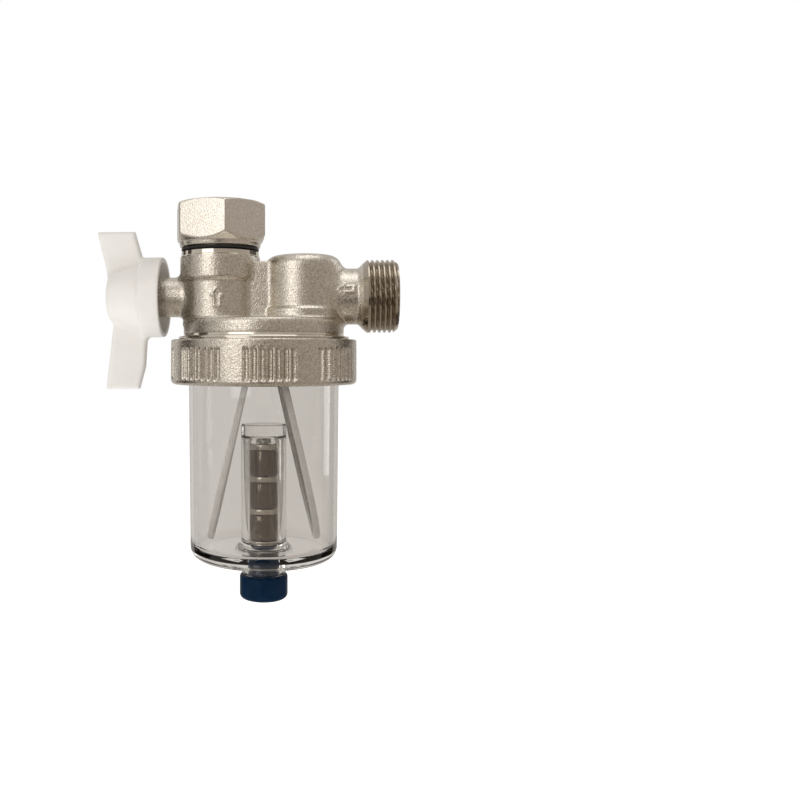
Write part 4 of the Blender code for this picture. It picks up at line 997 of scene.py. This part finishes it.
# %% Bowl
low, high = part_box("bowl")
BOWL_TOP, NECK_BOTTOM = high[2], low[2]
FLANGE_UNDER = BOWL_TOP - 2.9 * MM
BOWL_R, BOWL_LOW_R, WALL = 27.5 * MM, 26.85 * MM, 2.5 * MM
BOWL_BOTTOM, FLOOR_TOP = NECK_BOTTOM + 6.0 * MM, NECK_BOTTOM + 10.3 * MM
POCKET_R, POCKET_BORE, POCKET_TOP, POCKET_CEILING = 8.25 * MM, 5.9 * MM, -71.5 * MM, -75.6 * MM
BOWL_NECK_R = 8.1 * MM
EDGE = 0.4 * MM
FLOOR_ROUND, CORNER_ROUND, NECK_ROUND = 2.2 * MM, 4.5 * MM, 1.4 * MM
POCKET_FOOT, POCKET_ROUND = 2.6 * MM, 0.6 * MM
outline = ([(BOWL_R - WALL + EDGE, BOWL_TOP), (BOWL_R - WALL, BOWL_TOP - EDGE)] +
           [(BOWL_LOW_R - WALL, FLOOR_TOP + FLOOR_ROUND)] +
           arc(BOWL_LOW_R - WALL - FLOOR_ROUND, FLOOR_TOP + FLOOR_ROUND, FLOOR_ROUND, 0, -90, 8)[1:] +
           [(POCKET_R + POCKET_FOOT, FLOOR_TOP)] +
           [(POCKET_R + POCKET_FOOT - POCKET_FOOT * sin(a), FLOOR_TOP + POCKET_FOOT - POCKET_FOOT * cos(a))
            for a in np.radians(np.linspace(0, 90, 9))[1:]] +
           arc(POCKET_R - POCKET_ROUND, POCKET_TOP - POCKET_ROUND, POCKET_ROUND, 0, 90, 5) +
           [(0, POCKET_TOP)] +
           [(0, POCKET_CEILING), (POCKET_BORE - POCKET_ROUND, POCKET_CEILING),
            (POCKET_BORE, POCKET_CEILING - POCKET_ROUND)] +
           [(POCKET_BORE, NECK_BOTTOM + 0.3 * MM), (POCKET_BORE + 0.3 * MM, NECK_BOTTOM)] +
           [(BOWL_NECK_R - 0.4 * MM, NECK_BOTTOM), (BOWL_NECK_R, NECK_BOTTOM + 0.4 * MM)] +
           [(BOWL_NECK_R, BOWL_BOTTOM - NECK_ROUND)] +
           [(BOWL_NECK_R + NECK_ROUND * (1 - cos(a)), BOWL_BOTTOM - NECK_ROUND * (1 - sin(a)))
            for a in np.radians(np.linspace(0, 90, 7))[1:]] +
           arc(BOWL_LOW_R - CORNER_ROUND, BOWL_BOTTOM + CORNER_ROUND, CORNER_ROUND, -90, 0, 12) +
           [(BOWL_R, FLANGE_UNDER - 0.5 * MM), (BOWL_R + 0.3 * MM, FLANGE_UNDER)] +
           [(SKIRT_R - EDGE, FLANGE_UNDER), (SKIRT_R, FLANGE_UNDER + EDGE), (SKIRT_R, BOWL_TOP - EDGE),
            (SKIRT_R - EDGE, BOWL_TOP)])
clear_bowl = turned("clear_bowl", densify(outline, 2.0 * MM), "filter", "bowl", "bowl", around=256, sharp=45)
clear_bowl.visible_shadow = False
clear_plastic.on(clear_bowl)
slip = ring("slip_ring", "filter", "bowl", 27.8 * MM, 0.15 * MM, 200)
seat_plastic.on(slip)
low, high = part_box("bowl_seal")
SEAL_R = (high[2] - low[2]) / 2
seal = turned("bowl_o_ring", arc((high[0] - low[0]) / 2 - SEAL_R, (low[2] + high[2]) / 2, SEAL_R, 0, 330, 11),
              "filter", "head", "bowl_seal", around=200)
black_rubber.on(seal)
print("bowl wall %.1f mm" % (WALL / MM))

# %% [markdown]
# ## The magnet cartridge
# Three ring magnets are stacked between four steel pole plates on one long screw. Each is ground
# and bright-plated with a small bevel, and those bevels make the thin light lines of the stack.
# The blue cap carries the stack, so it draws out of the bowl's dry pocket to drop the sludge.

# %% Magnets and pole plates
stack = [ring("magnet_%d" % n, "filter", "cartridge", 1.8 * MM, 0.35 * MM) for n in (1, 2, 3)]
plates = [ring("pole_plate_%d" % n, "filter", "cartridge", 1.8 * MM, 0.25 * MM) for n in (1, 2, 3, 4)]
# The magnets get the nickel whose dark base colour is painted shade and painted dark reflection.
bright_nickel_painted_shade.on(*stack)
bright_steel.on(*plates)
low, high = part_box("cartridge_screw")
HEAD_LOW = high[2] - 2.3 * MM
HEX_HALF = (high[1] - low[1]) / 2


def hex_shape(radius, height, angle):
    """Bend the head's round outline into a hexagon with chamfered corners."""
    flat = HEX_HALF / np.cos((angle + pi / 6) % (pi / 3) - pi / 6)
    limit = HEX_HALF * 1.13 - np.maximum(0, height - high[2] + 0.5 * MM) * 1.2
    return np.where((height > HEAD_LOW - 1e-5) & (radius > 2.0 * MM),
                    np.minimum(np.minimum(flat, limit), radius), radius)


head_side = [(HEX_HALF * 1.2, HEAD_LOW + 2.3 * MM * i / 12) for i in range(13)]
tie = turned("tie_screw", [(0, high[2]), (0, low[2]), (1.5 * MM, low[2]), (1.5 * MM, HEAD_LOW)] + head_side +
             [(1.4 * MM, high[2]), (1.2 * MM, high[2] - 0.6 * MM)], "filter", "cartridge", "cartridge_screw",
             around=120, shape=hex_shape, sharp=25)
zinc.on(tie)

# %% Cap
low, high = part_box("cartridge_cap")
CAP_R, CAP_LOW, SHANK_TOP = (high[0] - low[0]) / 2, low[2], high[2]
CAP_TOP = NECK_BOTTOM - 0.3 * MM
SHANK_R = POCKET_BORE - 0.3 * MM
RING_Z = middle("cap_o_ring").z
cap_outline = ([(0, SHANK_TOP - 7.3 * MM), (0, CAP_LOW + 0.5 * MM), (4.6 * MM, CAP_LOW + 0.5 * MM),
                (5.2 * MM, CAP_LOW)] +
               arc(CAP_R - 1.8 * MM, CAP_LOW + 1.8 * MM, 1.8 * MM, 270, 360, 8) +
               [(CAP_R, CAP_TOP - 0.9 * MM)] +
               arc(CAP_R - 0.9 * MM, CAP_TOP - 0.9 * MM, 0.9 * MM, 0, 90, 5)[1:] +
               [(SHANK_R, CAP_TOP), (SHANK_R, RING_Z - 0.9 * MM), (SHANK_R - 1.5 * MM, RING_Z - 0.9 * MM),
                (SHANK_R - 1.5 * MM, RING_Z + 0.9 * MM), (SHANK_R, RING_Z + 0.9 * MM),
                (SHANK_R, SHANK_TOP - 0.5 * MM),
                (SHANK_R - 0.5 * MM, SHANK_TOP), (1.8 * MM, SHANK_TOP), (1.8 * MM, SHANK_TOP - 7.3 * MM)])
cap = turned("blue_cap", densify(cap_outline, 2.0 * MM), "filter", "cartridge", "cartridge_cap", around=160)
blue_plastic.on(cap)
low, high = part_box("cap_o_ring")
SECTION = (high[2] - low[2]) / 2
cap_ring = turned("cap_ring", arc((high[1] - low[1]) / 2 - SECTION, RING_Z, SECTION, 0, 330, 11),
                  "filter", "cartridge", "cap_o_ring", around=120)
black_rubber.on(cap_ring)
print("cap of", round(2 * CAP_R / MM, 1), "mm")

# %% [markdown]
# ## The strainer
# Two half-elliptic screens lean together like a tent over the magnets. Each is woven steel wire
# in a light moulded frame. The frames are fields on a tilted grid, and every wire is a real
# thin tube that passes over and under the wires it crosses.

# %% Strainer frame
STRAINER_TURN, LEAN = radians(5.0), atan((19.58 - 2.4) / 75.3)
RIDGE_Z, RIDGE_HALF = -38.3 * MM, 2.4 * MM
SCREEN_END, STRAIGHT_END, SCREEN_HALF = -113.6 * MM, -56.0 * MM, 22.4 * MM
FRAME_THICK, BORDER = 2.2 * MM, 2.4 * MM
STRAIGHT = (RIDGE_Z - STRAIGHT_END) / cos(LEAN)
LENGTH = (RIDGE_Z - SCREEN_END) / cos(LEAN)
FRAME_STEP = 0.34 * MM
low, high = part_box("strainer_frame")
x, y, z = grid(low, high, FRAME_STEP)
across = (x - FILTER_X) * cos(STRAINER_TURN) + y * sin(STRAINER_TURN)
deep = y * cos(STRAINER_TURN) - (x - FILTER_X) * sin(STRAINER_TURN)
down = RIDGE_Z - z


def half_width(distance, inset=0.0):
    """Half width of a screen at a distance down from the ridge."""
    part = np.clip((distance - STRAIGHT) / (LENGTH - STRAIGHT - inset), 0, 1)
    return (SCREEN_HALF - inset) * np.sqrt(1 - part ** 2)


frames = None
for side in (-1, 1):
    off_plane = (side * across - RIDGE_HALF) * cos(LEAN) - down * sin(LEAN)
    along = (side * across - RIDGE_HALF) * sin(LEAN) + down * cos(LEAN)
    rim = np.maximum(np.abs(deep) - half_width(along), along - LENGTH)
    window = np.maximum(np.abs(deep) - half_width(along, BORDER),
                        np.maximum(BORDER - along, along - LENGTH + BORDER))
    slab = np.maximum(np.abs(off_plane) - FRAME_THICK / 2, -along)
    leg = np.maximum(np.maximum(slab, rim), -window)
    frames = leg if frames is None else np.minimum(frames, leg)
ridge = box_field(across, deep, z, (-RIDGE_HALF - 0.6 * MM, -SCREEN_HALF + 1 * MM, RIDGE_Z - 2.6 * MM),
                  (RIDGE_HALF + 0.6 * MM, SCREEN_HALF - 1 * MM, RIDGE_Z - 0.4 * MM), 0.5 * MM)
carrier_r = (high[0] - low[0]) / 2
carrier = turned_field(np.hypot(x - FILTER_X, y), z, [(carrier_r - 2 * MM, SEAT_Z - 0.3 * MM),
                                                      (carrier_r - 2 * MM, SKIRT_BOTTOM),
                                                      (carrier_r, SKIRT_BOTTOM),
                                                      (carrier_r, SEAT_Z - 0.3 * MM)])
tab_middle = RIDGE_HALF + (RIDGE_Z + 48.9 * MM) * tan(LEAN)
tabs = box_field(np.abs(across) + 0 * z, np.abs(deep) + 0 * z, z,
                 (tab_middle - 1.4 * MM, SCREEN_HALF - 1 * MM, -49.8 * MM),
                 (tab_middle + 1.4 * MM, carrier_r - 1.7 * MM, -48.1 * MM))
tent = soften(np.minimum(np.minimum(frames, ridge), np.minimum(carrier, tabs)))
strainer_frame = cast("tent_frame", tent, (x, y, z), "head", "strainer_frame", sharp=45)
frame_plastic.on(strainer_frame)

# %% Woven screens
WIRE_PITCH, WIRE_R = 1.0 * MM, 0.17 * MM
SIDES = 4


def wires_across(start, stop, fixed_of, lengthwise):
    """Points of the centre lines of parallel wires, one array for each wire."""
    lines = []
    count = int((stop - start) / WIRE_PITCH)
    for number in range(count):
        fixed = start + (number + 0.5) * (stop - start) / count
        first, last = fixed_of(fixed)
        if last - first < 2 * WIRE_PITCH:
            continue
        run = np.linspace(first, last, max(3, int((last - first) / WIRE_PITCH * 2)))
        over = (WIRE_R * 1.05) * np.cos(pi * (run / WIRE_PITCH + number)) * (1 if lengthwise else -1)
        same = np.full_like(run, fixed)
        lines.append(np.stack([over, same, run] if lengthwise else [over, run, same], axis=-1))
    return lines


def down_at(width):
    """How far down the screen a given distance from its middle still has mesh."""
    part = min(1.0, abs(width) / (SCREEN_HALF - INSET))
    return INSET, STRAIGHT + (LENGTH - STRAIGHT - INSET) * sqrt(1 - part ** 2)


def width_at(distance):
    half = float(half_width(distance, INSET))
    return -half, half


INSET = BORDER + 0.1 * MM
HALF = SCREEN_HALF - INSET
cloth = wires_across(-HALF, HALF, down_at, True) + wires_across(INSET, LENGTH - INSET, width_at, False)


def woven(name, side, node):
    """Tubes round every wire of one screen, placed on its leaning plane."""
    points, quads, offset = [], [], 0
    ring_angles = np.linspace(0, 2 * pi, SIDES, endpoint=False)
    for line in cloth:
        crosswise = np.array([0.0, 1.0, 0.0] if np.ptp(line[:, 1]) < 1e-9 else [0.0, 0.0, -1.0])
        round_wire = WIRE_R * (np.cos(ring_angles)[:, None] * np.array([1.0, 0, 0]) +
                               np.sin(ring_angles)[:, None] * crosswise)
        points.append((line[:, None, :] + round_wire).reshape(-1, 3))
        rows = len(line)
        i = np.arange(rows - 1)[:, None] * SIDES + offset
        j = np.arange(SIDES)[None, :]
        k = (j + 1) % SIDES
        quads.append(np.stack([i + j, i + k, i + SIDES + k, i + SIDES + j], axis=-1).reshape(-1, 4))
        ends = np.array([[offset, offset + 1, offset + 2, offset + 3],
                         [offset + (rows - 1) * SIDES + n for n in (3, 2, 1, 0)]])
        quads.append(ends)
        offset += rows * SIDES
    flat = np.concatenate(points)
    sideways = RIDGE_HALF + flat[:, 2] * sin(LEAN) + flat[:, 0] * cos(LEAN)
    height = RIDGE_Z - flat[:, 2] * cos(LEAN) + flat[:, 0] * sin(LEAN)
    px, py = side * sideways, flat[:, 1]
    placed = np.stack([FILTER_X + px * cos(STRAINER_TURN) - py * sin(STRAINER_TURN),
                       px * sin(STRAINER_TURN) + py * cos(STRAINER_TURN), height], axis=-1)
    faces = np.concatenate(quads)
    screen = make_piece(name, placed, faces[:, ::-1] if side > 0 else faces, "head", node, sharp=80)
    screen_wire.on(screen)
    print(name, "has", len(cloth), "wires")
    return screen


woven("screen_left", -1, "strainer_mesh_left")
woven("screen_right", 1, "strainer_mesh_right")
